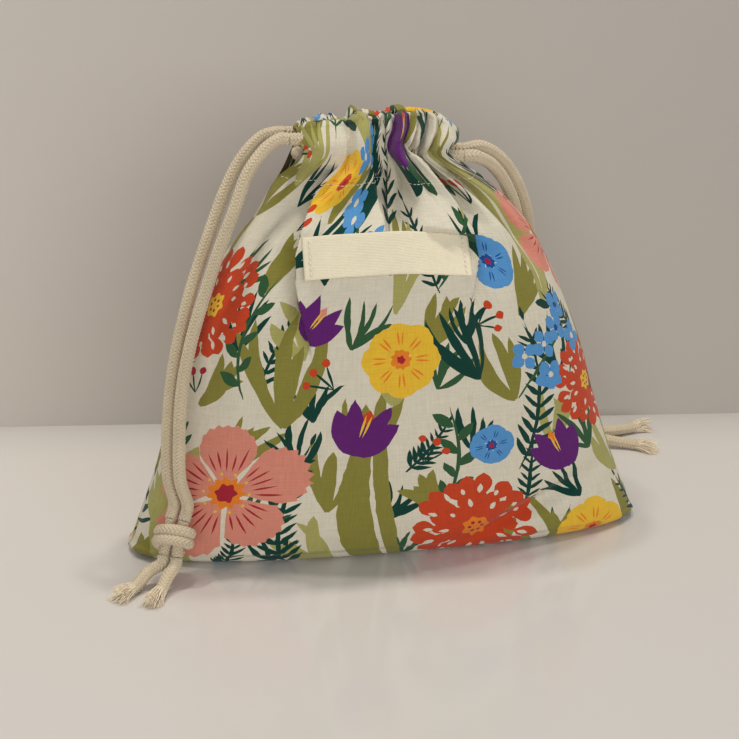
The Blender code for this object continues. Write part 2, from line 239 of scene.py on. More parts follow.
# A knot, with half the space between its two strands, and the frayed ends.
STRAND_STEP = 2.5
KNOT_HALF_LENGTH = 6.0
KNOT_TURNS = 1.15
KNOT_WIDE = 5.5
KNOT_HIGH = 4.0
ROUTE_STEP = 0.5
FRAY_YARNS = 130
FRAY_CUT = 4.0
FRAY_LENGTH = (5.5, 9.0)
FRAY_THICK = (0.14, 0.27)

# The columns of a panel's shape, and the steps between the points of its mesh: on the plain cloth,
# in the gathers above a height, and at its edge.
GRID_COLUMNS = 261
PRINT_STEP = 2.0
GATHER_STEP = 1.1
GATHERS_FROM = 102.0
EDGE_STEP = 2.0
# The print: the unevenness of its brushed edges, its scale about a middle, and the height over
# which the back's is turned.
BRUSH_SHAKE = 0.17
BRUSH_LEAST = 0.05
BRUSH_STEP = 1.6
DESIGN_SCALE = 1.3
DESIGN_MIDDLE = np.array([98.0, 104.0])
DESIGN_HEIGHT = 206.0

# Colours, as linear values.
INK = {
    "cream": (0.66, 0.60, 0.47),
    "olive": (0.23, 0.205, 0.040),
    "olive_light": (0.37, 0.34, 0.11),
    "teal": (0.004, 0.044, 0.031),
    "leaf": (0.030, 0.090, 0.036),
    "coral": (0.53, 0.055, 0.016),
    "orange": (0.74, 0.20, 0.02),
    "yellow": (0.76, 0.46, 0.035),
    "blue": (0.085, 0.27, 0.54),
    "deep_blue": (0.015, 0.065, 0.26),
    "purple": (0.11, 0.014, 0.14),
    "salmon": (0.64, 0.235, 0.165),
    "crimson": (0.36, 0.018, 0.032),
}
INK_NAMES = list(INK)
CORD_COLOUR = (0.59, 0.485, 0.33)
# Painted light: the frayed yarns are the cord's own cotton, lightened to offset the shade among them.
LIGHTENED_LOOSE_COLOUR = (0.86, 0.73, 0.53)
TAPE_COLOUR = (0.78, 0.69, 0.505)
THREAD_COLOUR = (0.82, 0.75, 0.60)
TABLE_COLOUR = (0.635, 0.60, 0.56)
WALL_COLOUR = (0.58, 0.525, 0.465)
YARN_SPACING = 0.55

# The room's own light, and its area lights: place, target and size in metres, power and colour.
ROOM_COLOUR = (0.93, 0.97, 1.0, 1.0)
ROOM_STRENGTH = 0.28
LAMP = ((0.0, 0.0, 0.05), (0.08, 0.08), 2.85, (1.0, 0.955, 0.89))
LIGHTS = {
    "window": ((0.05, -1.45, 0.42), (0.0, 0.0, 0.08), (1.9, 0.7), 13.2, (0.98, 0.99, 1.0)),
    "lamp_left": ((-0.38, 0.09, 1.15), *LAMP),
    "lamp_middle": ((-0.02, 0.09, 1.15), *LAMP),
    "lamp_right": ((0.36, 0.09, 1.15), *LAMP),
}
# The wall's place, its turn in degrees and its height, and how fast painted shade darkens it and
# the table towards the right.
WALL_PLACE = np.array([0.0, 109.6, 0.0])
WALL_YAW = -7.5
WALL_HEIGHT = 400.0
WALL_SHADE_SLOPE = 0.85
TABLE_SHADE_SLOPE = 0.10

# The print's layout, in millimetres of the flat cloth before it is scaled. Leaves: start, bend,
# end, width and ink.
LEAVES = [
    ((8, 96), (24, 116), (20, 150), 13.0, "olive"),
    ((100, 22), (80, 52), (92, 84), 15.0, "olive"),
    ((186, 46), (170, 74), (184, 104), 13.0, "olive"),
    ((60, 132), (84, 146), (78, 178), 11.0, "teal"),
    ((150, 116), (164, 140), (150, 170), 12.0, "olive_light"),
    ((44, 30), (30, 50), (40, 76), 12.0, "olive_light"),
    ((118, 150), (102, 168), (112, 196), 10.0, "leaf"),
    ((6, 172), (20, 186), (14, 212), 10.0, "teal"),
    ((186, 160), (172, 182), (184, 206), 10.0, "olive"),
]
# Tufts: root, reach, blades, spread, heading in degrees, ink and width.
TUFTS = [
    ((64, 84), 34, 6, 0.55, 96, "olive", 4.2),
    ((140, 20), 34, 6, 0.6, 84, "olive", 4.0),
    ((122, 96), 30, 5, 0.5, 118, "teal", 2.6),
    ((24, 14), 24, 5, 0.6, 70, "teal", 2.6),
    ((176, 118), 30, 5, 0.5, 80, "teal", 2.6),
    ((34, 152), 28, 5, 0.6, 100, "olive_light", 3.0),
    ((96, 118), 26, 4, 0.5, 70, "olive_light", 3.0),
]
# Ferns and leafy stems: start, bend, end, leaves, their length and ink.
FERNS = [
    ((70, 30), (60, 50), (72, 78), 11, 9.0, "teal"),
    ((132, 64), (146, 84), (140, 112), 10, 9.5, "teal"),
    ((20, 60), (12, 76), (26, 96), 9, 8.0, "leaf"),
    ((182, 18), (194, 34), (186, 52), 8, 8.0, "leaf"),
    ((92, 138), (98, 156), (88, 176), 9, 7.5, "teal"),
    ((162, 142), (178, 156), (166, 184), 9, 7.5, "teal"),
    ((44, 166), (50, 182), (38, 202), 8, 7.5, "leaf"),
    ((134, 168), (140, 186), (130, 208), 8, 7.5, "teal"),
]
STEMS = [
    ((52, 92), (44, 108), (54, 128), 7, 7.0, "leaf"),
    ((108, 54), (118, 66), (112, 88), 7, 7.5, "leaf"),
    ((154, 92), (160, 106), (150, 120), 5, 6.5, "teal"),
    ((2, 40), (8, 52), (4, 70), 6, 7.0, "teal"),
    ((110, 124), (120, 136), (128, 150), 6, 6.5, "leaf"),
]
# Flowers: place, size and inks. A poppy's last value turns it, and a crocus's third is its heading.
POPPIES = [
    ((50, 62), 22.0, "salmon", 0.4), ((170, 134), 17.0, "salmon", 1.1), ((92, 198), 14.0, "coral", 0.2),
]
ZINNIAS = [
    ((118, 46), 18.0, "coral", "orange"), ((34, 118), 16.0, "coral", "yellow"),
    ((162, 88), 15.0, "coral", "yellow"), ((142, 196), 11.0, "salmon", "coral"),
]
COSMOS = [
    ((152, 38), 13.0), ((98, 104), 14.0), ((12, 26), 12.0), ((58, 154), 10.0, "yellow", "coral"),
    ((190, 88), 9.0), ((22, 192), 9.0, "orange", "crimson", "crimson"),
    ((124, 74), 8.0, "blue", "deep_blue", "deep_blue", 6), ((80, 20), 10.0, "blue", "yellow", "deep_blue", 7),
    ((134, 130), 9.0, "blue", "deep_blue", "deep_blue", 6),
]
CROCUSES = [
    ((84, 74), 19.0, 72, "coral"), ((148, 62), 17.0, 110, "orange"), ((68, 110), 15.0, 60, "salmon"),
    ((108, 158), 18.0, 96, "coral"), ((186, 176), 15.0, 80, "coral"), ((4, 142), 14.0, 60, "orange"),
    ((188, 24), 15.0, 120, "orange"),
]
# Bell flowers: the stem's start, end and bend, the flowers' size and number.
BELLFLOWERS = [
    ((8, 78), (16, 108), (4, 0), 8.0, 6), ((134, 88), (158, 108), (2, 6), 8.0, 7),
    ((30, 20), (58, 34), (0, -6), 8.0, 6), ((84, 132), (70, 168), (-6, 0), 7.5, 6),
    ((164, 10), (180, 40), (6, 0), 7.5, 6), ((152, 168), (164, 200), (6, 0), 7.0, 6),
]
# Berries: place and heading in degrees.
BERRIES = [
    ((104, 70), 60), ((36, 92), 110), ((78, 96), 140), ((164, 84), 40), ((64, 16), 100),
    ((196, 112), 150), ((124, 112), 20), ((50, 140), 60), ((140, 146), 80), ((20, 160), 40),
    ((94, 6), 90), ((120, 8), 60), ((176, 2), 100), ((118, 184), 70), ((66, 190), 100),
]


def smoothstep(low, high, value):
    t = np.clip((value - low) / (high - low), 0.0, 1.0)
    return t * t * (3.0 - 2.0 * t)


def bell(value):
    return np.exp(-(value**2))


def unit(vectors):
    """The directions of vectors that lie along the last axis."""
    return vectors / np.maximum(np.linalg.norm(vectors, axis=-1, keepdims=True), 1e-9)


def polar(reach, angle):
    return reach * np.array([math.cos(angle), math.sin(angle)])


def read(table, value):
    """The second column of a table at a value of its first one."""
    return np.interp(value, table[:, 0], table[:, 1])


def smooth_at(table, z):
    """The other columns of a table at a height, on a smooth curve between its rows."""
    heights = table[:, 0]
    z = float(np.clip(z, heights[0], heights[-1]))
    k = int(np.clip(np.searchsorted(heights, z) - 1, 0, len(heights) - 2))
    slopes = np.gradient(table[:, 1:], heights, axis=0)
    span = heights[k + 1] - heights[k]
    t = (z - heights[k]) / span
    first = table[k, 1:] * (1 + 2 * t) * (1 - t) ** 2 + slopes[k] * span * t * (1 - t) ** 2
    return first + table[k + 1, 1:] * t * t * (3 - 2 * t) + slopes[k + 1] * span * t * t * (t - 1)


def half_section(middle, half_width, half_depth, squareness, cloth):
    """The front half of a superellipse, at even steps of cloth, and its outward directions."""
    angle = np.linspace(0.0, math.pi, 1441)
    power = 2.0 / squareness
    x = -half_width * np.sign(np.cos(angle)) * np.abs(np.cos(angle)) ** power
    y = -half_depth * np.abs(np.sin(angle)) ** power
    along = np.concatenate([[0.0], np.cumsum(np.hypot(np.diff(x), np.diff(y)))])

    def at(place):
        return np.stack([np.interp(place, along, x), np.interp(place, along, y)], axis=1)

    place = (cloth + 1.0) / 2.0 * along[-1]
    step = along[-1] * 0.01
    run = at(place + step) - at(place - step)
    outward = unit(np.stack([run[:, 1], -run[:, 0]], axis=1))
    outward[0] = (-1.0, 0.0)
    outward[-1] = (1.0, 0.0)
    return at(place) + (middle, 0.0), outward


def gathers(cloth):
    """Place across the neck, ripple, and each column's own fading height and rise."""
    k = np.clip(np.searchsorted(VALLEY_CLOTH, cloth, side="right") - 1, 0, len(PLEAT_OUT) - 1)
    t = (cloth - VALLEY_CLOTH[k]) / (VALLEY_CLOTH[k + 1] - VALLEY_CLOTH[k])
    neck = np.interp(cloth, VALLEY_CLOTH, VALLEY_NECK)
    lobe = np.abs(np.sin(math.pi * t)) ** 0.8 * (1.0 + 0.16 * np.sin(TURN * t + 1.7 * k))
    middles = (VALLEY_CLOTH[1:] + VALLEY_CLOTH[:-1]) / 2.0
    return neck, PLEAT_OUT[k] * lobe, np.interp(cloth, middles, PLEAT_FOOT), PLEAT_RISE[k] * lobe


def wrinkles(cloth, z):
    """Small soft unevenness of handled cotton."""
    total = np.zeros(len(cloth))
    for across, up, phase, height in WRINKLES:
        total += height * np.sin(across * cloth + up * z + phase) * np.cos(0.7 * phase + 0.4 * up * z)
    return total * smoothstep(0.0, 0.12, 1.0 - np.abs(cloth))


def hollows(cloth, z, drawn, side):
    """How far the cloth is drawn in along the valleys below the neck."""
    total = np.zeros(len(cloth))
    for top, low, left, right, depth, fade in HOLLOWS:
        offset = cloth * side - (low + (top - low) * smoothstep(fade, PINCH_Z, z))
        width = np.where(offset < 0.0, left, right)
        total += depth * smoothstep(fade, fade + FOLD_FADE, z) * bell(offset / width)
    return total * math.sqrt(1.0 - drawn)


def crests(x, z):
    """How far the front stands out, and how far it moves sideways, at its overlapping folds."""
    out = np.zeros(len(x))
    aside = np.zeros(len(x))
    for line, way, rise, hollow in CRESTS:
        foot, top = line[0, 0], line[-1, 0]
        if not foot < z < top:
            continue
        strength = smoothstep(foot, foot + FOLD_FADE, z) * (1.0 - smoothstep(top - 7.0, top, z))
        away = (x - read(line, z)) * way
        fallen = smoothstep(0.0, CREST_WIDTH, away)
        proud = rise * np.exp(np.minimum(away, 0.0) / CREST_REACH)
        rest = hollow * smoothstep(CREST_WIDTH, CREST_WIDTH + CREST_REACH, away)
        out += strength * (proud - (rise + hollow) * fallen + rest)
        lip = np.exp(np.minimum(away, 0.0) / CREST_LIP_REACH) * (1.0 - fallen)
        tuck = np.exp(-np.maximum(away - CREST_WIDTH, 0.0) / CREST_LIP_REACH) * fallen
        aside += way * strength * CREST_LIP * (lip - tuck)
    return out, aside


def slot(x, z):
    """How far the front is drawn in at the slot, and how far its lips lean over it."""
    middle, half_width, depth = smooth_at(SLOT, z)
    away = np.abs(x - middle)
    inside = 1.0 - smoothstep(half_width - 0.8, half_width + 0.8, away)
    lip = SLOT_LIP * np.exp(-np.maximum(away - half_width, 0.0) / 3.0) * (1.0 - inside)
    return depth * inside, -np.sign(x - middle) * lip * min(depth / 5.0, 1.0)


def lower_crease(x, z):
    """How far the front is drawn in along its low fold."""
    line = CREASE_END - CREASE_START
    run = x - CREASE_START[0]
    rise = z - CREASE_START[1]
    along = np.clip((run * line[0] + rise * line[1]) / (line @ line), 0.0, 1.0)
    beside = run - along * line[0]
    away = rise - along * line[1] - 0.25 * beside
    swell = np.sin(math.pi * (0.12 + 0.76 * along))
    return CREASE_DEPTH * np.exp(-((away / CREASE_WIDTH) ** 2) - beside**2 / 90.0) * swell


def label_line(across):
    """Depth, height and lean in radians of the label's back, at places across it."""
    half_width = LABEL_WIDTH / 2.0
    depth = LABEL_BOW * across**2 - LABEL_STAND
    right_end = smoothstep(4.0, half_width, across)
    height = LABEL_Z + LABEL_ARCH * (0.4 - (across / half_width) ** 2) - LABEL_DROOP * right_end
    return depth, height, np.radians(LABEL_LEAN + LABEL_TURN * right_end)


def pressed(flat, z):
    """Keeps the front behind the label that is sewn to it."""
    across = flat[:, 0] - LABEL_X
    depth, height, lean = label_line(across)
    up = (z - height) / np.cos(lean)
    back = depth + up * np.sin(lean)
    share = smoothstep(0.0, 4.0, LABEL_WIDTH / 2.0 + 3.0 - np.abs(across))
    share = share * smoothstep(0.0, 3.0, LABEL_HEIGHT / 2.0 + 2.5 - np.abs(up))
    flat[:, 1] += share * np.maximum(back + 0.25 - flat[:, 1], 0.0)
    return flat


def seam_share(neck, z):
    """1 where the two panels stand apart round the cords, falling to 0 at the side seams below them."""
    apart = smoothstep(130.0, 139.0, z)
    return 1.0 - (1.0 - apart) * (1.0 - smoothstep(0.0, 0.24, 1.0 - np.abs(neck)))


def top_lift(neck, rise, z):
    return (read(TOP_LIFT, neck) + rise) * smoothstep(PLEAT_TOP, FOLD_Z, z) + NECK_TILT * NECK_HALF * neck


def outer_row(z, cloth, side):
    """The points of the panel's outer face at a height, from the table up to the casing's fold."""
    plan, outward = half_section(*smooth_at(BODY, z), cloth)
    neck, ripple, foot, rise = gathers(side * cloth)
    middle, half_width, stand = smooth_at(NECK, z)
    drawn = smoothstep(NECK_FOOT, PINCH_Z, z)
    share = seam_share(neck, z)
    gathered = np.stack([middle + half_width * side * neck, -(CORD_Y + stand) * share], axis=1)
    grown = smoothstep(0.0, 1.0, (z - foot) / (PLEAT_TOP - foot))
    out = grown * (ripple - (1.0 - drawn) * PLEAT_SINK) * share - hollows(cloth, z, drawn, side)
    recess = RECESS_DEPTH * bell((neck - RECESS_PLACE) / RECESS_WIDTH)
    out = out - recess * drawn * (1.0 - smoothstep(RECESS_TOP, FOLD_Z, z))
    out = out + wrinkles(side * cloth, z) * (1.0 - drawn) * smoothstep(2.0, 20.0, z)
    flat = (1.0 - drawn) * plan + drawn * gathered
    aside = 0.0
    if side > 0:
        proud, aside = crests(flat[:, 0], z)
        drawn_in, lean = slot(flat[:, 0], z)
        out = out - lower_crease(flat[:, 0], z) + proud - drawn_in
        aside = aside + lean
    from_seam = 1.0 - np.abs(cloth)
    out = out * (smoothstep(0.0, 0.03, from_seam) * (1.0 - drawn) + drawn)
    out = out - SEAM_DIP * (1.0 - drawn) * (1.0 - smoothstep(0.0, 0.022, from_seam))
    flat = flat + unit((1.0 - drawn) * outward + drawn * np.array([0.0, -1.0])) * out[:, None]
    flat[:, 0] += aside
    flat[:, 1] = np.minimum(flat[:, 1], -0.05 - read(CLEARANCE, z) * share)
    if side > 0:
        flat = pressed(flat, z)
    return np.column_stack([flat, z + drawn * top_lift(side * neck, rise, z)])


def base_rows(cloth):
    """The rows under the pouch, from the seam in the middle of its base out to its front edge."""
    plan, _ = half_section(*smooth_at(BODY, 0.0), cloth)
    seam = np.stack([BASE_SEAM_HALF * cloth, np.zeros(len(cloth))], axis=1)
    inward = unit(seam - plan)
    turn = np.minimum(BASE_TURN, 0.33 * np.linalg.norm(seam - plan, axis=1))[:, None]
    foot = plan + inward * turn
    rows = []
    for share in np.linspace(0.0, 1.0, 8):
        rows.append(np.column_stack([seam + share * (foot - seam), np.full(len(cloth), 0.25)]))
    for angle in np.radians([75.0, 60.0, 45.0, 30.0, 15.0]):
        flat = plan + inward * turn * (1.0 - math.cos(angle))
        rows.append(np.column_stack([flat, 0.25 + turn * (1.0 - math.sin(angle))]))
    return rows


def hem_rows(cloth, side):
    """Over the casing's fold and down inside it, behind the cords."""
    neck, ripple, _, rise = gathers(side * cloth)
    neck = side * neck
    middle, half_width, stand = smooth_at(NECK, FOLD_Z)
    outer = CORD_Y + stand + ripple
    inner = read(HEM, FOLD_Z) + HEM_RIPPLE * ripple
    rows = []
    for angle in HALF_TURN:
        y = -(outer + inner) / 2.0 - (outer - inner) / 2.0 * math.cos(angle)
        z = FOLD_Z + top_lift(neck, rise, FOLD_Z) + 1.5 * math.sin(angle)
        rows.append(np.column_stack([middle + half_width * neck, y, z]))
    for z in np.linspace(FOLD_Z, HEM[0, 0], 12):
        middle, half_width, _ = smooth_at(NECK, z)
        y = -(read(HEM, z) + HEM_RIPPLE * smoothstep(145.0, FOLD_Z, z) * ripple) * seam_share(neck, z)
        x = middle + half_width * neck * HEM_WIDTH
        rows.append(np.column_stack([x, y, z + top_lift(neck, rise, z)]))
    return rows


def panel_grid(side):
    """Rows of points on a panel and each row's place up the flat cloth. side is 1 or -1."""
    cloth = np.linspace(-1.0, 1.0, GRID_COLUMNS)
    rows = base_rows(cloth)
    base = len(rows)
    rows.extend(outer_row(z, cloth, side) for z in np.linspace(BASE_TURN, STITCH_Z, 100))
    body = len(rows)
    rows.extend(outer_row(z, cloth, side) for z in np.linspace(STITCH_Z, FOLD_Z, 21)[1:])
    casing = len(rows)
    rows.extend(hem_rows(cloth, side))
    folded = STITCH_ROW + CASING_LENGTH
    up = np.concatenate([
        np.linspace(0.0, BASE_LENGTH, base, endpoint=False),
        np.linspace(BASE_LENGTH, STITCH_ROW, body - base),
        np.linspace(STITCH_ROW, folded, casing - body + 1)[1:],
        np.linspace(folded, FLAT_LENGTH, len(rows) - casing + 1)[1:],
    ])
    return np.array(rows) * np.array([1.0, side, 1.0]), up


def spline_weights(t):
    return [
        0.5 * (-t + 2 * t**2 - t**3),
        0.5 * (2 - 5 * t**2 + 3 * t**3),
        0.5 * (t + 4 * t**2 - 3 * t**3),
        0.5 * (-(t**2) + t**3),
    ]


class Cloth:
    """A panel's shape: gives the point and the direction out for any place on the flat cloth."""

    def __init__(self, side):
        self.side = side
        self.grid, self.up = panel_grid(side)

    def at(self, across, up):
        """Points for arrays of cloth places, read smoothly from the grid."""
        rows, columns = self.grid.shape[:2]
        column = (across + 1.0) / 2.0 * (columns - 1)
        row = np.interp(up, self.up, np.arange(rows))
        row0 = np.clip(np.floor(row).astype(int), 0, rows - 2)
        column0 = np.clip(np.floor(column).astype(int), 0, columns - 2)
        total = np.zeros((len(row), 3))
        for i, row_weight in enumerate(spline_weights(row - row0)):
            r = np.clip(row0 + i - 1, 0, rows - 1)
            for j, column_weight in enumerate(spline_weights(column - column0)):
                c = np.clip(column0 + j - 1, 0, columns - 1)
                total += self.grid[r, c] * (row_weight * column_weight)[:, None]
        return total

    def outward(self, across, up):
        step = 0.6
        aside = step / FLAT_WIDTH * 2
        run = self.at(np.clip(across + aside, -1, 1), up) - self.at(np.clip(across - aside, -1, 1), up)
        above = self.at(across, np.clip(up + step, 0, FLAT_LENGTH))
        below = self.at(across, np.clip(up - step, 0, FLAT_LENGTH))
        return unit(np.cross(run, above - below) * self.side)


def turned(points, angle, centre):
    c = math.cos(angle)
    s = math.sin(angle)
    return np.column_stack([
        centre[0] + points[:, 0] * c - points[:, 1] * s,
        centre[1] + points[:, 0] * s + points[:, 1] * c,
    ])


def outline_area(points):
    x, y = points[:, 0], points[:, 1]
    return np.sum(x * np.roll(y, -1) - y * np.roll(x, -1)) / 2.0


def spot(line, share):
    """The point at a share of a line, and the heading there."""
    shares = np.linspace(0, 1, len(line))
    at, later = (
        np.array([np.interp(place, shares, line[:, axis]) for axis in (0, 1)])
        for place in (share, min(share + 0.05, 1.0))
    )
    return at, math.atan2(*(later - at)[::-1])


class Print:
    """The printed design of one panel: closed shapes in inks, each laid over the ones before."""

    def __init__(self, seed):
        self.shapes = []
        self.chance = np.random.default_rng(seed)

    def brushed(self, points):
        """The outline with the small unevenness of a brush's edge, finer on thin shapes."""
        after = np.roll(points, -1, axis=0)
        lengths = np.linalg.norm(after - points, axis=1)
        thickness = 2.0 * abs(outline_area(points)) / lengths.sum()
        shake = min(BRUSH_SHAKE, 0.14 * thickness)
        if shake < BRUSH_LEAST:
            return points
        rough = []
        for point, following, length in zip(points, after, lengths):
            pieces = max(1, round(length / BRUSH_STEP))
            rough.extend(point + (following - point) * k / pieces for k in range(pieces))
        rough = np.array(rough)
        moved = self.chance.normal(0.0, shake, rough.shape)
        return rough + 0.6 * moved + 0.4 * np.roll(moved, 1, axis=0)

    def add(self, points, ink):
        points = self.brushed(points)
        self.shapes.append((points if outline_area(points) > 0 else points[::-1], ink))

    def petal(self, centre, angle, start, length, width, ink, tip=0.9, notch=0.0, steps=9):
        """A petal that grows away from centre. A greater tip puts its widest place further out."""
        t = np.linspace(0.0, 1.0, steps)
        half = width / 2.0 * np.sin(math.pi * t**tip) ** 0.75
        along = start + length * (t - notch * (t > 0.9) * 0.5)
        upper = np.column_stack([along, half])
        lower = np.column_stack([along, -half])[-2:0:-1]
        self.add(turned(np.vstack([upper, lower]), angle, centre), ink)

    def blob(self, centre, radius, ink, lobes=0, depth=0.0, steps=14):
        angle = np.linspace(0.0, TURN, max(steps, lobes * 5), endpoint=False)
        reach = radius * (1.0 + depth * np.cos(lobes * angle))
        self.add(np.column_stack([centre[0] + reach * np.cos(angle), centre[1] + reach * np.sin(angle)]), ink)

    def dots(self, centre, reach, count, radius, ink):
        for k in range(count):
            self.blob(centre + polar(reach, TURN * k / count), radius, ink, steps=6)

    def ribbon(self, start, bend, end, width, ink, taper=(0.25, 0.15), steps=12):
        """A stroke along a smooth curve, thin at its ends. Gives back the curve."""
        t = np.linspace(0.0, 1.0, steps)
        first, second, third = (1 - t) ** 2, 2 * t * (1 - t), t**2
        line = np.outer(first, start) + np.outer(second, bend) + np.outer(third, end)
        step = unit(np.gradient(line, axis=0))
        side = np.column_stack([-step[:, 1], step[:, 0]])
        swell = np.sin(math.pi * t) ** 0.6
        thin = taper[0] * (1 - t) + taper[1] * t
        offset = side * (width / 2.0 * (thin + (1 - thin) * swell))[:, None]
        self.add(np.vstack([line + offset, (line - offset)[::-1]]), ink)
        return line

    def zinnia(self, centre, radius, ink, core):
        """A full many-petalled head: a ragged disc with rings of petals and pale gaps between them."""
        for ring, (reach, count) in enumerate([(1.0, 19), (0.74, 15)]):
            for k in range(count):
                angle = TURN * (k + 0.5 * ring) / count + self.chance.normal(0, 0.05)
                size = radius * 0.40 * self.chance.uniform(0.80, 1.15)
                width = TURN * radius * reach / count * self.chance.uniform(0.74, 0.98)
                self.petal(centre, angle, radius * (reach - 0.40), size, width, ink, tip=1.25, steps=7)
        self.blob(centre, radius * 0.50, ink, lobes=11, depth=0.08)
        for reach, count in ((0.66, 15), (0.40, 9)):
            for k in range(count):
                angle = TURN * (k + self.chance.uniform(0.1, 0.6)) / count
                size = radius * self.chance.uniform(0.10, 0.19)
                self.petal(centre, angle, radius * reach, size, radius * 0.075, "cream", steps=6)
        self.blob(centre, radius * 0.20, core, lobes=7, depth=0.14)
        self.dots(centre, radius * 0.10, 6, radius * 0.032, "crimson")

    def cosmos(self, centre, radius, ink="yellow", core="orange", streak="orange", count=8):
        """An open flower of broad petals with a fine streak along each."""
        spin = self.chance.uniform(0, 1)
        for k in range(count):
            angle = TURN * k / count + spin
            length = radius * self.chance.uniform(0.84, 1.0) * 0.86
            width = TURN * radius / count * 0.86
            self.petal(centre, angle, radius * 0.10, length, width, ink, tip=1.5, notch=0.1)
            for side in (-0.1, 0.1):
                self.petal(centre, angle + side, radius * 0.3, radius * 0.34, radius * 0.045, streak, steps=5)
        self.blob(centre, radius * 0.21, core, lobes=9, depth=0.10)
        self.blob(centre, radius * 0.09, "crimson", lobes=5, depth=0.15)

    def crocus(self, centre, size, angle, lining):
        """A cup of pointed petals, seen from the side."""
        for offset in (-0.62, 0.62):
            self.petal(centre, angle + offset, 0.0, size * 0.86, size * 0.40, "purple", tip=0.85)
        self.petal(centre, angle, size * 0.1, size * 0.72, size * 0.34, lining)
        for offset in (-0.30, 0.30):
            self.petal(centre, angle + offset, 0.0, size, size * 0.33, "purple", tip=0.8)
        for offset in (-0.07, 0.05):
            self.petal(centre, angle + offset, size * 0.34, size * 0.4, size * 0.035, "yellow", steps=5)

    def poppy(self, centre, radius, ink, spin):
        """A large open flower of wavy petals with veins that fan out from a dark middle."""
        t = np.linspace(-1.0, 1.0, 19)
        root = radius * np.array([[0.10, 0.03], [0.10, -0.03]])
        for k in range(5):
            angle = TURN * k / 5 + spin
            reach = radius * (1.0 + 0.10 * math.sin(2.3 * k + 1.0))
            edge = reach * (1.0 - 0.30 * np.abs(t) ** 2.6 + 0.035 * np.cos(9 * math.pi * t + k))
            rim = np.column_stack([edge * np.cos(0.60 * t), edge * np.sin(0.60 * t)])
            self.add(turned(np.vstack([rim, root]), angle, centre), ink)
            for vein in np.linspace(-0.42, 0.42, 5):
                start = radius * self.chance.uniform(0.30, 0.36)
                length = radius * self.chance.uniform(0.24, 0.40)
                self.petal(centre, angle + vein, start, length, radius * 0.030, "crimson", steps=5)
        self.blob(centre, radius * 0.22, "orange", lobes=11, depth=0.14)
        self.blob(centre, radius * 0.13, "crimson", lobes=6, depth=0.12)
        self.dots(centre, radius * 0.29, 10, radius * 0.022, "yellow")

    def bellflowers(self, start, end, bend, size, count):
        """A curved stem hung with little four-petalled flowers."""
        line = self.ribbon(start, (start + end) / 2.0 + bend, end, 1.1, "leaf")
        for k in range(count):
            angle = self.chance.uniform(0, math.pi)
            place = spot(line, 0.18 + 0.80 * k / (count - 1))[0] + polar(1.0, 2.4 * k) * size * 0.78
            for petal in range(4):
                heading = angle + petal * math.pi / 2
                self.petal(place, heading, 0.1, size * 0.62, size * 0.50, "blue", tip=1.2, steps=7)
            self.blob(place, size * 0.13, "cream" if k % 3 else "deep_blue", steps=7)

    def fern(self, start, bend, end, leaves, length, ink, width=1.3):
        """A spine with pairs of narrow leaflets that shorten towards the tip."""
        line = self.ribbon(start, bend, end, width, ink)
        for k in range(leaves):
            share = 0.10 + 0.86 * k / leaves
            at, heading = spot(line, share)
            size = length * (1.0 - 0.55 * share) * self.chance.uniform(0.88, 1.1)
            for side in (-1, 1):
                self.petal(at, heading + side * 0.85, 0.0, size, size * 0.24, ink, tip=0.8, steps=7)
        heading = math.atan2(*(line[-1] - line[-3])[::-1])
        self.petal(line[-1], heading, 0.0, length * 0.5, length * 0.16, ink, steps=7)

    def leafy_stem(self, start, bend, end, leaves, length, ink):
        """A stem with single rounded leaves on alternate sides."""
        line = self.ribbon(start, bend, end, 1.1, ink)
        for k in range(leaves):
            at, heading = spot(line, 0.12 + 0.84 * k / leaves)
            side = -1 if k % 2 else 1
            size = length * self.chance.uniform(0.8, 1.1)
            self.petal(at, heading + side * 0.75, 0.3, size, size * 0.42, ink, tip=0.95, steps=8)

    def broad_leaf(self, start, bend, end, width, ink):
        """A long leaf with a pale rib."""
        line = self.ribbon(start, bend, end, width, ink, taper=(0.10, 0.02), steps=16)
        self.ribbon(line[1], (line[7] + line[8]) / 2.0, line[-3], width * 0.09, "cream", steps=9)

    def grass(self, root, reach, count, spread, heading, ink, width):
        """Blades that fan out from one root, each bending its own way."""
        for k in range(count):
            angle = heading + spread * ((k + 0.5) / count - 0.5) * 2.0
            length = reach * self.chance.uniform(0.7, 1.05)
            tip = root + polar(length, angle)
            side = polar(1.0, angle + math.pi / 2.0) * length * self.chance.uniform(-0.25, 0.25)
            thick = width * self.chance.uniform(0.7, 1.2)
            self.ribbon(root, (root + tip) / 2.0 + side, tip, thick, ink, taper=(0.3, 0.0))

    def berries(self, start, heading, ink, size=8.5, count=3):
        """Small round berries on forked stalks."""
        for k in range(count):
            angle = heading + 0.55 * (k - (count - 1) / 2.0)
            tip = start + polar(size * self.chance.uniform(0.7, 1.0), angle)
            middle = (start + tip) / 2.0 + self.chance.normal(0, 0.5, 2)
            self.ribbon(start, middle, tip, 0.7, "teal", steps=7)
            self.blob(tip, size * 0.15, ink, steps=10)


def undergrowth(design):
    """Tufts and sprigs spread over the whole ground, under the flowers."""
    kinds = ["olive", "teal", "olive", "fern", "teal", "olive_light", "leaf"]
    places = [
        (u, v)
        for row, v in enumerate(np.arange(14.0, 200.0, 19.0))
        for u in np.arange(18.0 + 9.0 * (row % 2), 184.0, 19.0)
    ]
    for number, place in enumerate(places):
        kind = kinds[number % len(kinds)]
        root = np.array(place) + design.chance.uniform(-5.0, 5.0, 2)
        angle = math.radians(design.chance.uniform(50.0, 130.0))
        reach = design.chance.uniform(17.0, 27.0)
        if kind == "fern":
            tip = root + polar(reach, angle)
            bend = (root + tip) / 2.0 + design.chance.uniform(-4.0, 4.0, 2)
            design.fern(root, bend, tip, 8, 6.5, "teal", 1.2)
        elif kind in ("teal", "leaf"):
            design.grass(root, reach * 0.8, 5, 0.75, angle, kind, 1.9)
        else:
            design.grass(root, reach, 4, 0.45, angle, kind, 3.8)


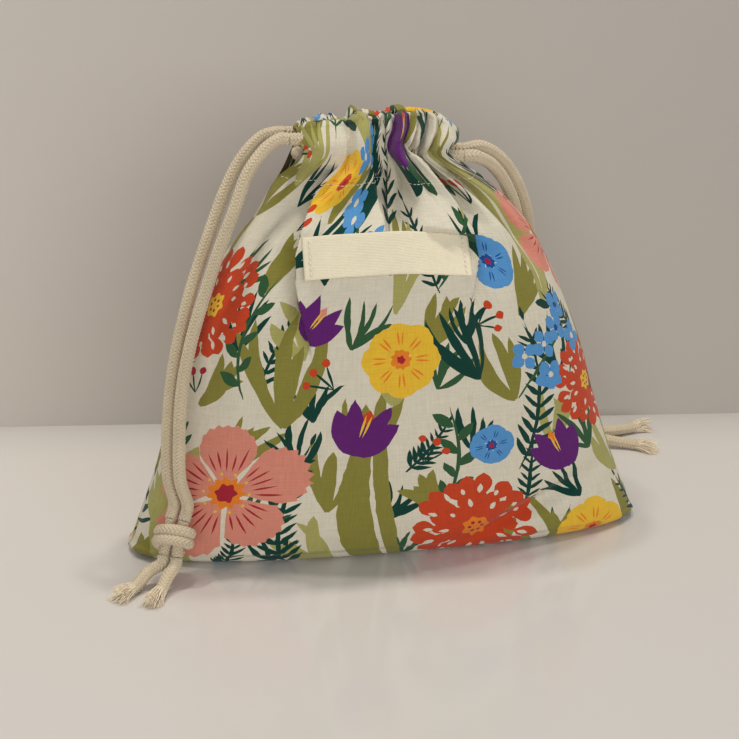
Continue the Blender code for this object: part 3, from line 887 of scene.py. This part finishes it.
def floral(seed, side):
    """The whole design, laid out over one panel. The back has it upside down."""
    design = Print(seed)

    def at(place):
        u, v = place
        return np.array([u, v if side > 0 else DESIGN_HEIGHT - v], float)

    def heading(degrees):
        return math.radians(degrees * side)

    undergrowth(design)
    for start, bend, end, width, colour in LEAVES:
        design.broad_leaf(at(start), at(bend), at(end), width, colour)
    for root, reach, count, spread, degrees, colour, width in TUFTS:
        design.grass(at(root), reach, count, spread, heading(degrees), colour, width)
    for draw, sprigs in ((design.fern, FERNS), (design.leafy_stem, STEMS)):
        for start, bend, end, count, length, colour in sprigs:
            draw(at(start), at(bend), at(end), count, length, colour)
    for draw, flowers in ((design.poppy, POPPIES), (design.zinnia, ZINNIAS), (design.cosmos, COSMOS)):
        for place, *rest in flowers:
            draw(at(place), *rest)
    for place, size, degrees, lining in CROCUSES:
        design.crocus(at(place), size, heading(degrees), lining)
    for start, end, bend, size, count in BELLFLOWERS:
        design.bellflowers(at(start), at(end), np.array(bend), size, count)
    for place, degrees in BERRIES:
        design.berries(at(place), heading(degrees), "crimson" if degrees % 20 else "coral")
    return [(DESIGN_MIDDLE + (points - DESIGN_MIDDLE) * DESIGN_SCALE, ink) for points, ink in design.shapes]


def mesh_object(name, points, faces, materials):
    mesh = bpy.data.meshes.new(name)
    mesh.from_pydata((np.asarray(points) * MM).tolist(), [], faces)
    for material in materials:
        mesh.materials.append(material)
    mesh.shade_smooth()
    obj = bpy.data.objects.new(name, mesh)
    bpy.context.scene.collection.objects.link(obj)
    return obj


def cloth_points():
    """Points spread evenly over the flat cloth, closer together where it is gathered."""
    rows = []
    for step, low, high in ((PRINT_STEP, 0.0, GATHERS_FROM), (GATHER_STEP, GATHERS_FROM, FLAT_LENGTH)):
        for k, v in enumerate(np.arange(low + step / 2.0, high, step)):
            u = np.arange(step * (0.4 + 0.5 * (k % 2)), FLAT_WIDTH - 0.3 * step, step)
            rows.append(np.column_stack([u, np.full(len(u), v)]))
    return np.vstack(rows)


def cloth_edge():
    """Points round the rectangle of the flat cloth."""
    across = np.linspace(0.0, FLAT_WIDTH, round(FLAT_WIDTH / EDGE_STEP) + 1)
    up = np.linspace(0.0, FLAT_LENGTH, round(FLAT_LENGTH / GATHER_STEP) + 1)
    return np.vstack([
        np.column_stack([across[:-1], np.zeros(len(across) - 1)]),
        np.column_stack([np.full(len(up) - 1, FLAT_WIDTH), up[:-1]]),
        np.column_stack([across[:0:-1], np.full(len(across) - 1, FLAT_LENGTH)]),
        np.column_stack([np.zeros(len(up) - 1), up[:0:-1]]),
    ])


def within(outline, points):
    """True for each point inside a closed outline."""
    x, y = points[:, 0], points[:, 1]
    inside = np.zeros(len(points), bool)
    for (x0, y0), (x1, y1) in zip(outline, np.roll(outline, -1, axis=0)):
        if y1 != y0:
            inside ^= ((y0 > y) != (y1 > y)) & (x < x0 + (y - y0) * (x1 - x0) / (y1 - y0))
    return inside


def inks_at(centres, shapes):
    """The number of the ink on top at each place."""
    order = np.argsort(centres[:, 0])
    across = centres[order, 0]
    found = np.zeros(len(centres), int)
    for points, ink in shapes:
        low, high = points.min(axis=0), points.max(axis=0)
        near = order[np.searchsorted(across, low[0]):np.searchsorted(across, high[0])]
        near = near[(centres[near, 1] > low[1]) & (centres[near, 1] < high[1])]
        found[near[within(points, centres[near])]] = INK_NAMES.index(ink)
    return found


def printed_pieces(shapes):
    """Triangles of the flat cloth that follow every printed edge, and the ink of each."""
    loops = [cloth_edge(), *[points for points, _ in shapes]]
    edges = []
    first = 0
    for points in loops:
        count = len(points)
        edges.extend((first + k, first + (k + 1) % count) for k in range(count))
        first += count
    places = np.vstack([*loops, cloth_points()])
    verts, _, faces, *_ = delaunay_2d_cdt([Vector(place) for place in places], edges, [], 0, 1e-3, False)
    verts = np.array([tuple(v) for v in verts])
    faces = np.array(faces)
    centres = verts[faces].mean(axis=1)
    kept = (centres > 0).all(axis=1) & (centres[:, 0] < FLAT_WIDTH) & (centres[:, 1] < FLAT_LENGTH)
    used, index = np.unique(faces[kept], return_inverse=True)
    return verts[used], index.reshape(-1, 3), inks_at(centres[kept], shapes)


def printed_panel(name, cloth, seed, materials):
    verts, faces, inks = printed_pieces(floral(seed, cloth.side))
    across = np.clip(verts[:, 0] / FLAT_WIDTH * 2.0 - 1.0, -1.0, 1.0)
    up = np.clip(verts[:, 1], 0.0, FLAT_LENGTH)
    obj = mesh_object(name, cloth.at(across, up), faces[:, ::cloth.side].tolist(), materials)
    mesh = obj.data
    mesh.polygons.foreach_set("material_index", inks)
    layer = mesh.uv_layers.new(name="cloth")
    corners = np.empty(len(mesh.loops), np.int32)
    mesh.loops.foreach_get("vertex_index", corners)
    layer.data.foreach_set("uv", (verts[corners] / FLAT_LENGTH).ravel())
    mesh.normals_split_custom_set_from_vertices(cloth.outward(across, up).tolist())
    return obj


class Graph:
    """Adds nodes to a tree, linked or set in one call."""

    def __init__(self, tree):
        self.nodes = tree.nodes
        self.links = tree.links

    def node(self, kind, inputs=(), **settings):
        made = self.nodes.new(kind)
        for name, value in settings.items():
            setattr(made, name, value)
        for name, value in dict(inputs).items():
            if isinstance(value, bpy.types.NodeSocket):
                self.links.new(value, made.inputs[name])
            else:
                made.inputs[name].default_value = value
        return made

    def math(self, operation, *values):
        return self.node("ShaderNodeMath", enumerate(values), operation=operation).outputs[0]

    def noise(self, vector, scale, detail=2.0, roughness=0.5):
        inputs = {"Vector": vector, "Scale": scale, "Detail": detail, "Roughness": roughness}
        return self.node("ShaderNodeTexNoise", inputs).outputs[0]

    def vector(self, operation, inputs):
        return self.node("ShaderNodeVectorMath", inputs, operation=operation).outputs[0]

    def bump(self, height, strength, distance, **inputs):
        inputs = {"Strength": strength, "Distance": distance, "Height": height, **inputs}
        return self.node("ShaderNodeBump", inputs).outputs[0]

    def waves(self, value, spacing):
        """Ribs of a spacing in the value's own unit."""
        return self.math("SINE", self.math("MULTIPLY", value, TURN / spacing))


def weave_group():
    """A plain weave with uneven yarns, read from the flat cloth: a shade near 1 and a normal."""
    group = bpy.data.node_groups.new("woven_cotton", "ShaderNodeTree")
    group.interface.new_socket("Shade", in_out="OUTPUT", socket_type="NodeSocketFloat")
    group.interface.new_socket("Normal", in_out="OUTPUT", socket_type="NodeSocketVector")
    graph = Graph(group)
    flat = graph.node("ShaderNodeUVMap", uv_map="cloth").outputs[0]
    place = graph.vector("SCALE", {0: flat, "Scale": FLAT_LENGTH})
    split = graph.node("ShaderNodeSeparateXYZ", {0: place})
    warp, weft = (graph.waves(split.outputs[axis], 2.0 * YARN_SPACING) for axis in (0, 1))
    over = graph.math("MULTIPLY", graph.math("MULTIPLY", weft, graph.math("SIGN", warp)), 0.6)
    under = graph.math("MULTIPLY", graph.math("MULTIPLY", warp, graph.math("SIGN", weft)), 0.6)
    warp_height = graph.math("ADD", graph.math("ABSOLUTE", warp), over)
    weft_height = graph.math("SUBTRACT", graph.math("ABSOLUTE", weft), under)
    height = graph.math("MAXIMUM", warp_height, weft_height)
    warp_slub, weft_slub = (
        graph.noise(graph.vector("MULTIPLY", {0: place, 1: stretch}), 1.0, 3.0, 0.6)
        for stretch in ((1.7, 0.10, 1.0), (0.10, 1.7, 1.0))
    )
    shade = graph.math("MULTIPLY_ADD", warp_slub, 0.30, 0.62)
    shade = graph.math("MULTIPLY_ADD", weft_slub, 0.30, shade)
    shade = graph.math("MULTIPLY_ADD", graph.noise(place, 1.9, 2.0, 0.6), 0.10, shade)
    shade = graph.math("MULTIPLY_ADD", graph.noise(place, 0.16, 4.0, 0.6), 0.10, shade)
    shade = graph.math("MULTIPLY_ADD", height, 0.035, graph.math("SUBTRACT", shade, 0.06))
    yarn = graph.math("ADD", height, graph.math("ADD", warp_slub, weft_slub))
    crumple = graph.bump(graph.noise(place, 0.11, 3.0, 0.55), 0.5, 0.0009)
    out = graph.node("NodeGroupOutput")
    graph.links.new(shade, out.inputs[0])
    graph.links.new(graph.bump(yarn, 0.55, 0.00009, Normal=crumple), out.inputs[1])
    return group


class Finish:
    """A new material of one colour. shade multiplies the colour, and normal takes a relief."""

    def __init__(self, name, colour, roughness, sheen=0.0, specular=0.3):
        self.material = bpy.data.materials.new(name)
        self.material.use_nodes = True
        self.graph = Graph(self.material.node_tree)
        self.shader = self.material.node_tree.nodes["Principled BSDF"]
        self.colour = colour
        values = {"Roughness": roughness, "Specular IOR Level": specular, "Sheen Weight": sheen}
        for socket, value in {**values, "Sheen Roughness": 0.5}.items():
            self.shader.inputs[socket].default_value = value

    def place(self):
        return self.graph.node("ShaderNodeTexCoord").outputs["Object"]

    def shade(self, shade):
        tinted = self.graph.vector("SCALE", {0: self.colour, "Scale": shade})
        self.graph.links.new(tinted, self.shader.inputs["Base Color"])

    def normal(self, normal):
        self.graph.links.new(normal, self.shader.inputs["Normal"])


def printed_cotton(ink, group):
    finish = Finish("cotton_" + ink, INK[ink], 0.88, sheen=0.12, specular=0.22)
    weave = finish.graph.node("ShaderNodeGroup")
    weave.node_tree = group
    finish.shade(weave.outputs[0])
    finish.normal(weave.outputs[1])
    return finish.material


def cord_cotton(name, colour, relief):
    """Soft undyed cotton yarn: uneven in shade, with fine fibres in its relief."""
    finish = Finish(name, colour, 0.92, sheen=0.35, specular=0.2)
    graph = finish.graph
    place = finish.place()
    fine = graph.noise(place, 2600.0, 3.0, 0.7)
    shade = graph.math("MULTIPLY_ADD", graph.noise(place, 130.0, 3.0, 0.6), 0.26, 0.78)
    finish.shade(graph.math("MULTIPLY_ADD", fine, 0.22, shade))
    finish.normal(graph.bump(fine, 0.7, relief))
    return finish.material


def tape_cotton():
    """Woven tape with close ribs across its length."""
    finish = Finish("label_tape", TAPE_COLOUR, 0.85, sheen=0.15, specular=0.25)
    graph = finish.graph
    place = finish.place()
    split = graph.node("ShaderNodeSeparateXYZ", {0: place})
    ribs = graph.waves(split.outputs[0], 0.50 * MM)
    rows = graph.waves(split.outputs[2], 0.46 * MM)
    uneven = graph.noise(place, 900.0, 3.0, 0.6)
    crossed = graph.math("MULTIPLY", ribs, rows)
    height = graph.math("MULTIPLY_ADD", crossed, 0.6, graph.math("ADD", rows, uneven))
    shade = graph.math("MULTIPLY_ADD", uneven, 0.14, 0.87)
    finish.shade(graph.math("MULTIPLY_ADD", graph.noise(place, 90.0, 2.0, 0.5), 0.12, shade))
    finish.normal(graph.bump(height, 0.4, 0.00006))
    return finish.material


def thread_cotton():
    finish = Finish("thread", THREAD_COLOUR, 0.75, sheen=0.2)
    twist = finish.graph.noise(finish.place(), 5000.0, 2.0, 0.6)
    finish.shade(finish.graph.math("MULTIPLY_ADD", twist, 0.24, 0.86))
    finish.normal(finish.graph.bump(twist, 0.5, 0.0001))
    return finish.material


def resampled(line, step):
    line = np.asarray(line, float)
    along = np.concatenate([[0.0], np.cumsum(np.linalg.norm(np.diff(line, axis=0), axis=1))])
    places = np.linspace(0.0, along[-1], max(2, round(along[-1] / step) + 1))
    return np.stack([np.interp(places, along, line[:, axis]) for axis in range(3)], axis=1)


def smooth_route(route, step):
    """Evenly spaced points on a smooth curve through given ones, straight at both ends."""
    route = np.array(route, float)
    ends = np.vstack([2 * route[0] - route[1], route, 2 * route[-1] - route[-2]])
    fine = []
    for k in range(len(route) - 1):
        for t in np.linspace(0.0, 1.0, 24, endpoint=False):
            fine.append(sum(weight * point for weight, point in zip(spline_weights(t), ends[k:k + 4])))
    fine.append(route[-1])
    return resampled(fine, step)


def frames(line):
    """Unit vectors beside a line and above it, turned as little as they can be."""
    ahead = unit(np.gradient(line, axis=0))
    beside = [unit(np.cross(ahead[0], (0.31, 0.42, 0.85)))]
    for direction in ahead[1:]:
        beside.append(unit(beside[-1] - direction * (beside[-1] @ direction)))
    beside = np.array(beside)
    return beside, np.cross(ahead, beside)


class Tubes:
    """Many tubes gathered into one mesh. Each takes the finish that is set when it is added."""

    def __init__(self):
        self.points = []
        self.faces = []
        self.finishes = []
        self.finish = 0
        self.count = 0

    def add(self, points):
        """A closed tube through rings of points."""
        rings, sides = points.shape[:2]
        self.points.append(points.reshape(-1, 3))
        row = np.arange(rings - 1)[:, None] * sides + self.count
        near = np.arange(sides)
        far = (near + 1) % sides
        quads = np.stack([row + near, row + far, row + far + sides, row + near + sides], axis=-1)
        self.faces.extend(quads.reshape(-1, 4).tolist())
        self.faces.append([self.count + k for k in range(sides - 1, -1, -1)])
        self.faces.append([self.count + (rings - 1) * sides + k for k in range(sides)])
        self.finishes.extend([self.finish] * (len(self.faces) - len(self.finishes)))
        self.count += rings * sides

    def oval(self, line, first, second, sides):
        """A tube of elliptical rings. first and second are the rings' two half axes."""
        angle = np.linspace(0.0, TURN, sides, endpoint=False)[:, None]
        ring = first[:, None, :] * np.cos(angle) + second[:, None, :] * np.sin(angle)
        self.add(line[:, None, :] + ring)

    def round(self, line, radius, sides):
        beside, above = frames(line)
        radius = np.broadcast_to(radius, len(line))[:, None]
        self.oval(line, beside * radius, above * radius, sides)

    def build(self, name, *materials):
        obj = mesh_object(name, np.vstack(self.points), self.faces, materials)
        obj.data.polygons.foreach_set("material_index", self.finishes)
        return obj


def braid(tubes, line, diameter, sides=5, flare=0.0):
    """Two sets of strands that wind both ways round a core, each passing over two and under two."""
    line = resampled(line, BRAID_STEP)
    beside, above = frames(line)
    along = np.arange(len(line)) * BRAID_STEP
    widen = 1.0 + flare * smoothstep(along[-1] - 3.5, along[-1], along)
    crossing = BRAID_PITCH / (2 * STRANDS)
    for way, phase in ((1, 0.5), (-1, 1.5)):
        for k in range(STRANDS):
            angle = way * TURN * along / BRAID_PITCH + TURN * k / STRANDS
            wave = np.cos(math.pi / 2.0 * (along / crossing - phase) + math.pi * k)
            radial = beside * np.cos(angle)[:, None] + above * np.sin(angle)[:, None]
            strand = line + radial * (diameter * (BRAID_REACH + BRAID_RISE * wave) * widen)[:, None]
            strand[:, 2] = np.maximum(strand[:, 2], 0.1 * diameter)
            across = unit(np.cross(np.gradient(strand, axis=0), radial))
            across = across * (diameter * STRAND_WIDE * widen)[:, None]
            tubes.oval(strand, radial * diameter * STRAND_THICK, across, sides)
    tubes.round(line, diameter * CORE, 10)


def neck_height(x, z):
    return z + NECK_TILT * (x - NECK_X)


def cord_in_casing(exit_side, z):
    """Through the front casing, round beyond its far end, and back through the other casing."""
    near = NECK_X + exit_side * (NECK_HALF + CORD_EXIT)
    far = NECK_X - exit_side * (NECK_HALF - 9.0)
    places = [(x, -CORD_Y) for x in np.linspace(near, far, 5)]
    places += [
        (far - exit_side * (CORD_Y + 1.0) * math.sin(angle), -CORD_Y * math.cos(angle)) for angle in HALF_TURN
    ]
    places += [(x, CORD_Y) for x in np.linspace(far, near, 5)]
    return smooth_route([(x, y, neck_height(x, z)) for x, y in places], 1.0)


def run_from(end, side, route):
    """A strand that leaves a casing straight and then follows its route to the knot."""
    exit_side, z = CORD_EXITS[end]
    x = NECK_X + exit_side * (NECK_HALF + CORD_EXIT + CORD_GAP)
    start = [(at, side * CORD_Y, neck_height(at, z)) for at in (x, x + exit_side * 3.0)]
    return smooth_route([*start, *route], ROUTE_STEP)


class Knot:
    """Where a cord's two strands are tied together. ahead is the way the tails leave."""

    def __init__(self, centre, ahead, across):
        self.centre = np.array(centre)
        self.ahead = unit(np.array(ahead))
        self.across = unit(np.array(across) - self.ahead * (np.array(across) @ self.ahead))
        self.up = np.cross(self.ahead, self.across)

    def at(self, across, up, ahead):
        return self.centre + self.across * across + self.up * up + self.ahead * ahead

    def place(self, side, beyond):
        """A point on one strand's line, beyond the knot's end."""
        return self.at(STRAND_STEP * side, 0.0, math.copysign(KNOT_HALF_LENGTH + abs(beyond), beyond))

    def build(self, name, material):
        """Two strands through the middle, and the cord that goes round them."""
        tubes = Tubes()
        end = KNOT_HALF_LENGTH
        waist = [(STRAND_STEP, -end), (2.2, -3.5), (1.9, 0.0), (2.2, 3.5), (STRAND_STEP, end)]
        for side in (-1, 1):
            route = [self.at(across * side, 0.0, ahead) for across, ahead in waist]
            braid(tubes, smooth_route(route, ROUTE_STEP), 3.9)
        wrap = []
        for turn in np.linspace(-KNOT_TURNS, KNOT_TURNS, 90):
            angle = TURN * turn + math.pi / 2.0
            tucked = 1.0 - 0.42 * smoothstep(KNOT_TURNS - 0.3, KNOT_TURNS, abs(turn))
            across, up = tucked * polar(1.0, angle) * (KNOT_WIDE, KNOT_HIGH)
            wrap.append(self.at(across, up, 3.3 * turn + 0.9 * math.sin(angle)))
        braid(tubes, np.array(wrap), 4.0)
        return tubes.build(name, material)


def fray(tubes, line, diameter, seed):
    """The loose yarns at a cut end, which spread and fall to the table."""
    chance = np.random.default_rng(seed)
    ahead = unit(line[-1] - line[-8])
    beside = unit(np.cross(ahead, (0.0, 0.0, 1.0)))
    above = np.cross(beside, ahead)
    t = np.linspace(0.0, 1.0, 8)
    for _ in range(FRAY_YARNS):
        angle = TURN * chance.random()
        reach = diameter / 2.0 * math.sqrt(chance.random())
        radial = beside * math.cos(angle) + above * math.sin(angle)
        length = chance.uniform(*FRAY_LENGTH)
        spread = chance.uniform(0.25, 1.25) * reach
        curl = chance.normal(0.0, 0.30, 3)
        points = line[-1] - ahead * 2.5 + radial * reach * 0.9
        points = points + np.outer(t * length, ahead) + np.outer(t**1.4 * spread, radial)
        points = points + np.outer(np.sin(t * math.pi * chance.uniform(0.6, 1.6)), curl)
        thick = chance.uniform(*FRAY_THICK)
        points[:, 2] = np.maximum(points[:, 2] - 0.8 * t**2, thick + 0.05)
        tubes.round(points, thick * (1.0 - 0.6 * t), 4)


# The free strands, as in the part's source: side of the pouch and route.
LEFT_KNOT = Knot((-78.3, -26.0, 15.5), (-0.26, -0.425, -0.866), (-0.85, 0.52, 0.0))
RIGHT_KNOT = Knot((89.0, 62.0, 5.4), (1.0, 0.12, 0.0), (0.0, 1.0, 0.0))
RUNS = {
    "left_cord_back_run": (1, [
        (-42.5, 5.8, 143.6), (-49.5, 2.6, 137.0), (-55.6, -1.5, 127.0), (-61.3, -6.0, 114.5),
        (-67.2, -10.0, 100.0), (-72.3, -13.0, 84.0), (-76.2, -15.5, 67.0), (-78.4, -18.0, 50.0),
        (-79.0, -20.0, 36.0), LEFT_KNOT.place(1, -6.0), LEFT_KNOT.place(1, -CORD_GAP),
    ]),
    "left_cord_front_run": (-1, [
        (-42.5, -7.8, 142.2), (-48.5, -10.5, 135.0), (-53.6, -13.5, 123.5), (-58.8, -15.0, 111.5),
        (-64.0, -16.5, 97.5), (-69.4, -18.5, 81.5), (-73.2, -20.5, 65.0), (-74.8, -22.5, 50.0),
        (-75.2, -24.0, 36.0), LEFT_KNOT.place(-1, -6.0), LEFT_KNOT.place(-1, -CORD_GAP),
    ]),
    "right_cord_back_run": (1, [
        (34.0, 7.6, 138.0), (41.6, 11.0, 133.5), (48.4, 15.5, 125.5), (54.3, 21.0, 114.0),
        (58.6, 28.0, 100.0), (62.0, 37.0, 80.0), (65.5, 47.0, 55.0), (68.5, 56.0, 30.0),
        (72.3, 62.5, 14.0), RIGHT_KNOT.place(1, -5.0), RIGHT_KNOT.place(1, -CORD_GAP),
    ]),
    "right_cord_front_run": (-1, [
        (29.8, -5.0, 136.8), (36.0, 0.5, 133.0), (42.6, 7.0, 125.5), (48.4, 13.5, 115.0),
        (53.2, 21.5, 101.0), (57.4, 31.0, 81.0), (62.0, 41.5, 55.5), (66.5, 50.5, 30.0),
        (72.0, 57.0, 14.0), RIGHT_KNOT.place(-1, -5.0), RIGHT_KNOT.place(-1, -CORD_GAP),
    ]),
}
# The height of a cord's middle on the table.
REST = CORD / 2.0 + 0.05
TAILS = {
    "left_tail_back": (LEFT_KNOT, 1, [(-87.6, -29.5, 5.2), (-92.0, -33.4, REST), (-97.4, -38.4, REST)]),
    "left_tail_front": (LEFT_KNOT, -1, [(-81.4, -34.4, 5.2), (-84.0, -38.4, REST), (-86.9, -43.6, REST)]),
    "right_tail_back": (RIGHT_KNOT, 1, [(106.0, 68.6, 3.4), (116.0, 71.6, REST), (128.0, 74.9, REST)]),
    "right_tail_front": (RIGHT_KNOT, -1, [(105.0, 59.4, 3.4), (113.5, 56.2, REST), (122.0, 51.0, REST)]),
}


def label_point(across, up, out):
    """A point on the label, out from its back face."""
    depth, height, lean = label_line(across)
    y = depth + up * math.sin(lean) - out * math.cos(lean)
    z = height + up * math.cos(lean) + out * math.sin(lean)
    return np.array([LABEL_X + across, y, z])


def rounded(value, power):
    return math.copysign(abs(value) ** power, value)


def label(material):
    """The tape as a thin closed cushion with rounded edges, thinner at both ends."""
    rings = []
    for across in np.linspace(-LABEL_WIDTH / 2.0, LABEL_WIDTH / 2.0, 112):
        near_end = smoothstep(0.0, 0.5, LABEL_WIDTH / 2.0 - abs(across))
        thick = LABEL_THICK * (0.35 + 0.65 * near_end)
        wave = 0.22 * math.sin(across * 0.31 + 0.8) + 0.14 * math.sin(across * 0.83)
        middle = LABEL_THICK / 2.0 + wave * 0.4 - 0.18 * bell((abs(across) - LABEL_STITCH) / 0.8)
        ring = []
        for angle in np.linspace(0.0, TURN, 24, endpoint=False):
            up = LABEL_HEIGHT / 2.0 * rounded(math.cos(angle), 0.16) + 0.1 * wave
            ring.append(label_point(across, up, middle + thick / 2.0 * rounded(math.sin(angle), 0.45)))
        rings.append(ring)
    tape = Tubes()
    tape.add(np.array(rings))
    return tape.build("label", material)


def stitch(tubes, start, end, outward, radius):
    """One short stitch that rises out of the cloth and goes back in."""
    t = np.linspace(0.0, 1.0, 7)
    line = np.outer(1.0 - t, start) + np.outer(t, end)
    line = line + np.outer(np.sin(math.pi * t) * radius * 1.3 - radius * 0.5, outward)
    tubes.round(line, radius * (0.6 + 0.4 * np.sin(math.pi * t)), 6)


def label_stitches(name, side, material):
    tubes = Tubes()
    step = (LABEL_HEIGHT - 2.0 * LABEL_STITCH_MARGIN) / LABEL_STITCHES
    _, _, lean = label_line(side * LABEL_STITCH)
    outward = np.array([0.0, -math.cos(lean), math.sin(lean)])
    for k in range(LABEL_STITCHES):
        low = -LABEL_HEIGHT / 2.0 + LABEL_STITCH_MARGIN + k * step
        start = label_point(side * LABEL_STITCH, low + 0.15, LABEL_THICK + 0.05)
        end = label_point(side * (LABEL_STITCH + 0.1), low + step - 0.25, LABEL_THICK + 0.05)
        stitch(tubes, start, end, outward, LABEL_THREAD)
    return tubes.build(name, material)


def casing_stitches(name, cloth, material):
    """The row of stitches that holds the casing's fold."""
    tubes = Tubes()
    places = np.arange(2.0, FLAT_WIDTH - 3.0, CASING_STITCH_STEP)
    starts = places / FLAT_WIDTH * 2.0 - 1.0
    ends = (places + CASING_STITCH) / FLAT_WIDTH * 2.0 - 1.0
    up = np.full(len(places), STITCH_ROW)
    outward = cloth.outward((starts + ends) / 2.0, up)
    for start, end, direction in zip(cloth.at(starts, up), cloth.at(ends, up), outward):
        stitch(tubes, start, end, direction, CASING_THREAD)
    return tubes.build(name, material)


def stage_finish(name, colour, roughness, specular, shade_slope):
    """A plain surface, faintly uneven, with painted shade that darkens it towards the right at a given rate.
    """
    finish = Finish(name, colour, roughness, specular=specular)
    graph = finish.graph
    place = finish.place()
    shade = graph.math("MULTIPLY_ADD", graph.noise(place, 6.0, 3.0, 0.5), 0.04, 0.98)
    across = graph.node("ShaderNodeSeparateXYZ", {0: place}).outputs[0]
    across = graph.math("MAXIMUM", graph.math("MINIMUM", across, 0.3), -0.3)
    # Painted shade: the colour grows darker towards the right.
    finish.shade(graph.math("MULTIPLY_ADD", across, -shade_slope, shade))
    return finish


def open_from_behind(finish):
    """Lets a view from the far side of the surface see through it."""
    graph = finish.graph
    behind = graph.node("ShaderNodeNewGeometry").outputs["Backfacing"]
    clear = graph.node("ShaderNodeBsdfTransparent").outputs[0]
    mixed = graph.node("ShaderNodeMixShader", {0: behind, 1: finish.shader.outputs[0], 2: clear})
    graph.links.new(mixed.outputs[0], graph.nodes["Material Output"].inputs["Surface"])


def build_stage():
    """A pale table and the wall close behind it."""
    table = stage_finish("table_white", TABLE_COLOUR, 0.14, 0.45, TABLE_SHADE_SLOPE)
    wall = stage_finish("wall_grey", WALL_COLOUR, 0.6, 0.25, WALL_SHADE_SLOPE)
    open_from_behind(wall)
    yaw = math.radians(WALL_YAW)
    reach = 1500.0 * np.array([math.cos(yaw), math.sin(yaw), 0.0])
    left, right = WALL_PLACE - reach, WALL_PLACE + reach
    high = np.array([0.0, 0.0, WALL_HEIGHT])
    table_corners = [(-1800, -1500, 0), (1800, -1500, 0), (1800, 1500, 0), (-1800, 1500, 0)]
    wall_corners = [left, right, right + high, left + high]
    for name, corners, finish in (("table", table_corners, table), ("wall", wall_corners, wall)):
        mesh_object(name, corners, [[0, 1, 2, 3]], [finish.material])


def area_light(name, place, target, size, power, colour):
    data = bpy.data.lights.new(name, "AREA")
    data.shape = "RECTANGLE"
    data.size, data.size_y = size
    data.energy = power
    data.color = colour
    obj = bpy.data.objects.new(name, data)
    obj.location = place
    obj.rotation_euler = (Vector(target) - Vector(place)).to_track_quat("-Z", "Y").to_euler()
    obj.visible_glossy = False
    bpy.context.scene.collection.objects.link(obj)


def build_light():
    """A soft light from the room in front, and a row of small lamps overhead."""
    world = bpy.data.worlds.new("room")
    bpy.context.scene.world = world
    world.use_nodes = True
    background = world.node_tree.nodes["Background"]
    background.inputs["Color"].default_value = ROOM_COLOUR
    background.inputs["Strength"].default_value = ROOM_STRENGTH
    for name, values in LIGHTS.items():
        area_light(name, *values)


def build_camera():
    data = bpy.data.cameras.new("photo_camera")
    data.sensor_width = SENSOR
    data.lens = CAMERA_FOCAL / PHOTO_SIDE * SENSOR
    data.clip_start = 0.01
    obj = bpy.data.objects.new("photo_camera", data)
    obj.location = np.array(CAMERA_PLACE) * MM
    obj.rotation_euler = (math.radians(90.0 - CAMERA_PITCH), 0.0, math.radians(-CAMERA_YAW))
    bpy.context.scene.collection.objects.link(obj)
    bpy.context.scene.camera = obj


def dressed(obj, finish, *nodes):
    """Rides the piece on the pouch and hides the nodes that it stands for. Its finish is not used."""
    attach(obj, "root")
    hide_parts(*nodes)
    return obj


def build_panels(thread):
    group = weave_group()
    inks = [printed_cotton(ink, group) for ink in INK_NAMES]
    for name, side, seed in (("front", 1, 3), ("back", -1, 8)):
        cloth = Cloth(side)
        panel = dressed(printed_panel(name + "_cloth", cloth, seed, inks), "printed_cotton", name + "_panel")
        row = casing_stitches(name + "_casing_stitches", cloth, thread)
        dressed(row, "sewing_thread", name + "_casing_stitch")


def build_label(thread):
    tag = dressed(label(tape_cotton()), "woven_tape", "label_tape")
    for end, side in (("left", -1), ("right", 1)):
        row = label_stitches("label_stitches_" + end, side, thread)
        dressed(row, "sewing_thread", "label_stitch_" + end)


def cord_piece(name, line, yarn, **braiding):
    tubes = Tubes()
    braid(tubes, line, CORD, **braiding)
    return dressed(tubes.build(name + "_braid", yarn), "cord_cotton", name)


def tail_piece(name, seed, yarn, loose):
    """A tail from its knot to its frayed end on the table."""
    knot, side, route = TAILS[name]
    line = smooth_route([knot.place(side, CORD_GAP), knot.place(side, 3.0), *route], ROUTE_STEP)
    line = line[:-round(FRAY_CUT / ROUTE_STEP)]
    tubes = Tubes()
    braid(tubes, line, CORD, flare=0.12)
    tubes.finish = 1
    fray(tubes, line, CORD, seed)
    return dressed(tubes.build(name + "_braid", yarn, loose), "cord_cotton", name)


def build_cords():
    yarn = cord_cotton("cord_yarn", CORD_COLOUR, 0.00022)
    # The frayed yarns' copy of the cord yarn, painted lighter against the shade among them.
    loose = cord_cotton("cord_loose_yarn_painted_light", LIGHTENED_LOOSE_COLOUR, 0.00004)
    for end, (exit_side, z) in CORD_EXITS.items():
        cord_piece(end + "_cord_in_casing", cord_in_casing(exit_side, z), yarn, sides=4)
    pieces = {}
    for end, knot in (("left", LEFT_KNOT), ("right", RIGHT_KNOT)):
        pieces[end] = [dressed(knot.build(end + "_knot_tied", yarn), "cord_cotton", end + "_knot")]
    for seed, name in enumerate(TAILS, start=100):
        pieces[name.split("_")[0]].append(tail_piece(name, seed, yarn, loose))
    for name, (side, route) in RUNS.items():
        end = name.split("_")[0]
        line = run_from(end, side, route)
        cord_piece(name, line, yarn)


def build():
    bpy.context.scene.view_settings.view_transform = "Standard"
    build_camera()
    build_light()
    build_stage()
    thread = thread_cotton()
    build_panels(thread)
    build_label(thread)
    build_cords()
    for name in ("left_side_seam_thread", "right_side_seam_thread", "bottom_seam_thread"):
        for holder in bpy.data.objects[name].material_slots:
            holder.material = thread


build()
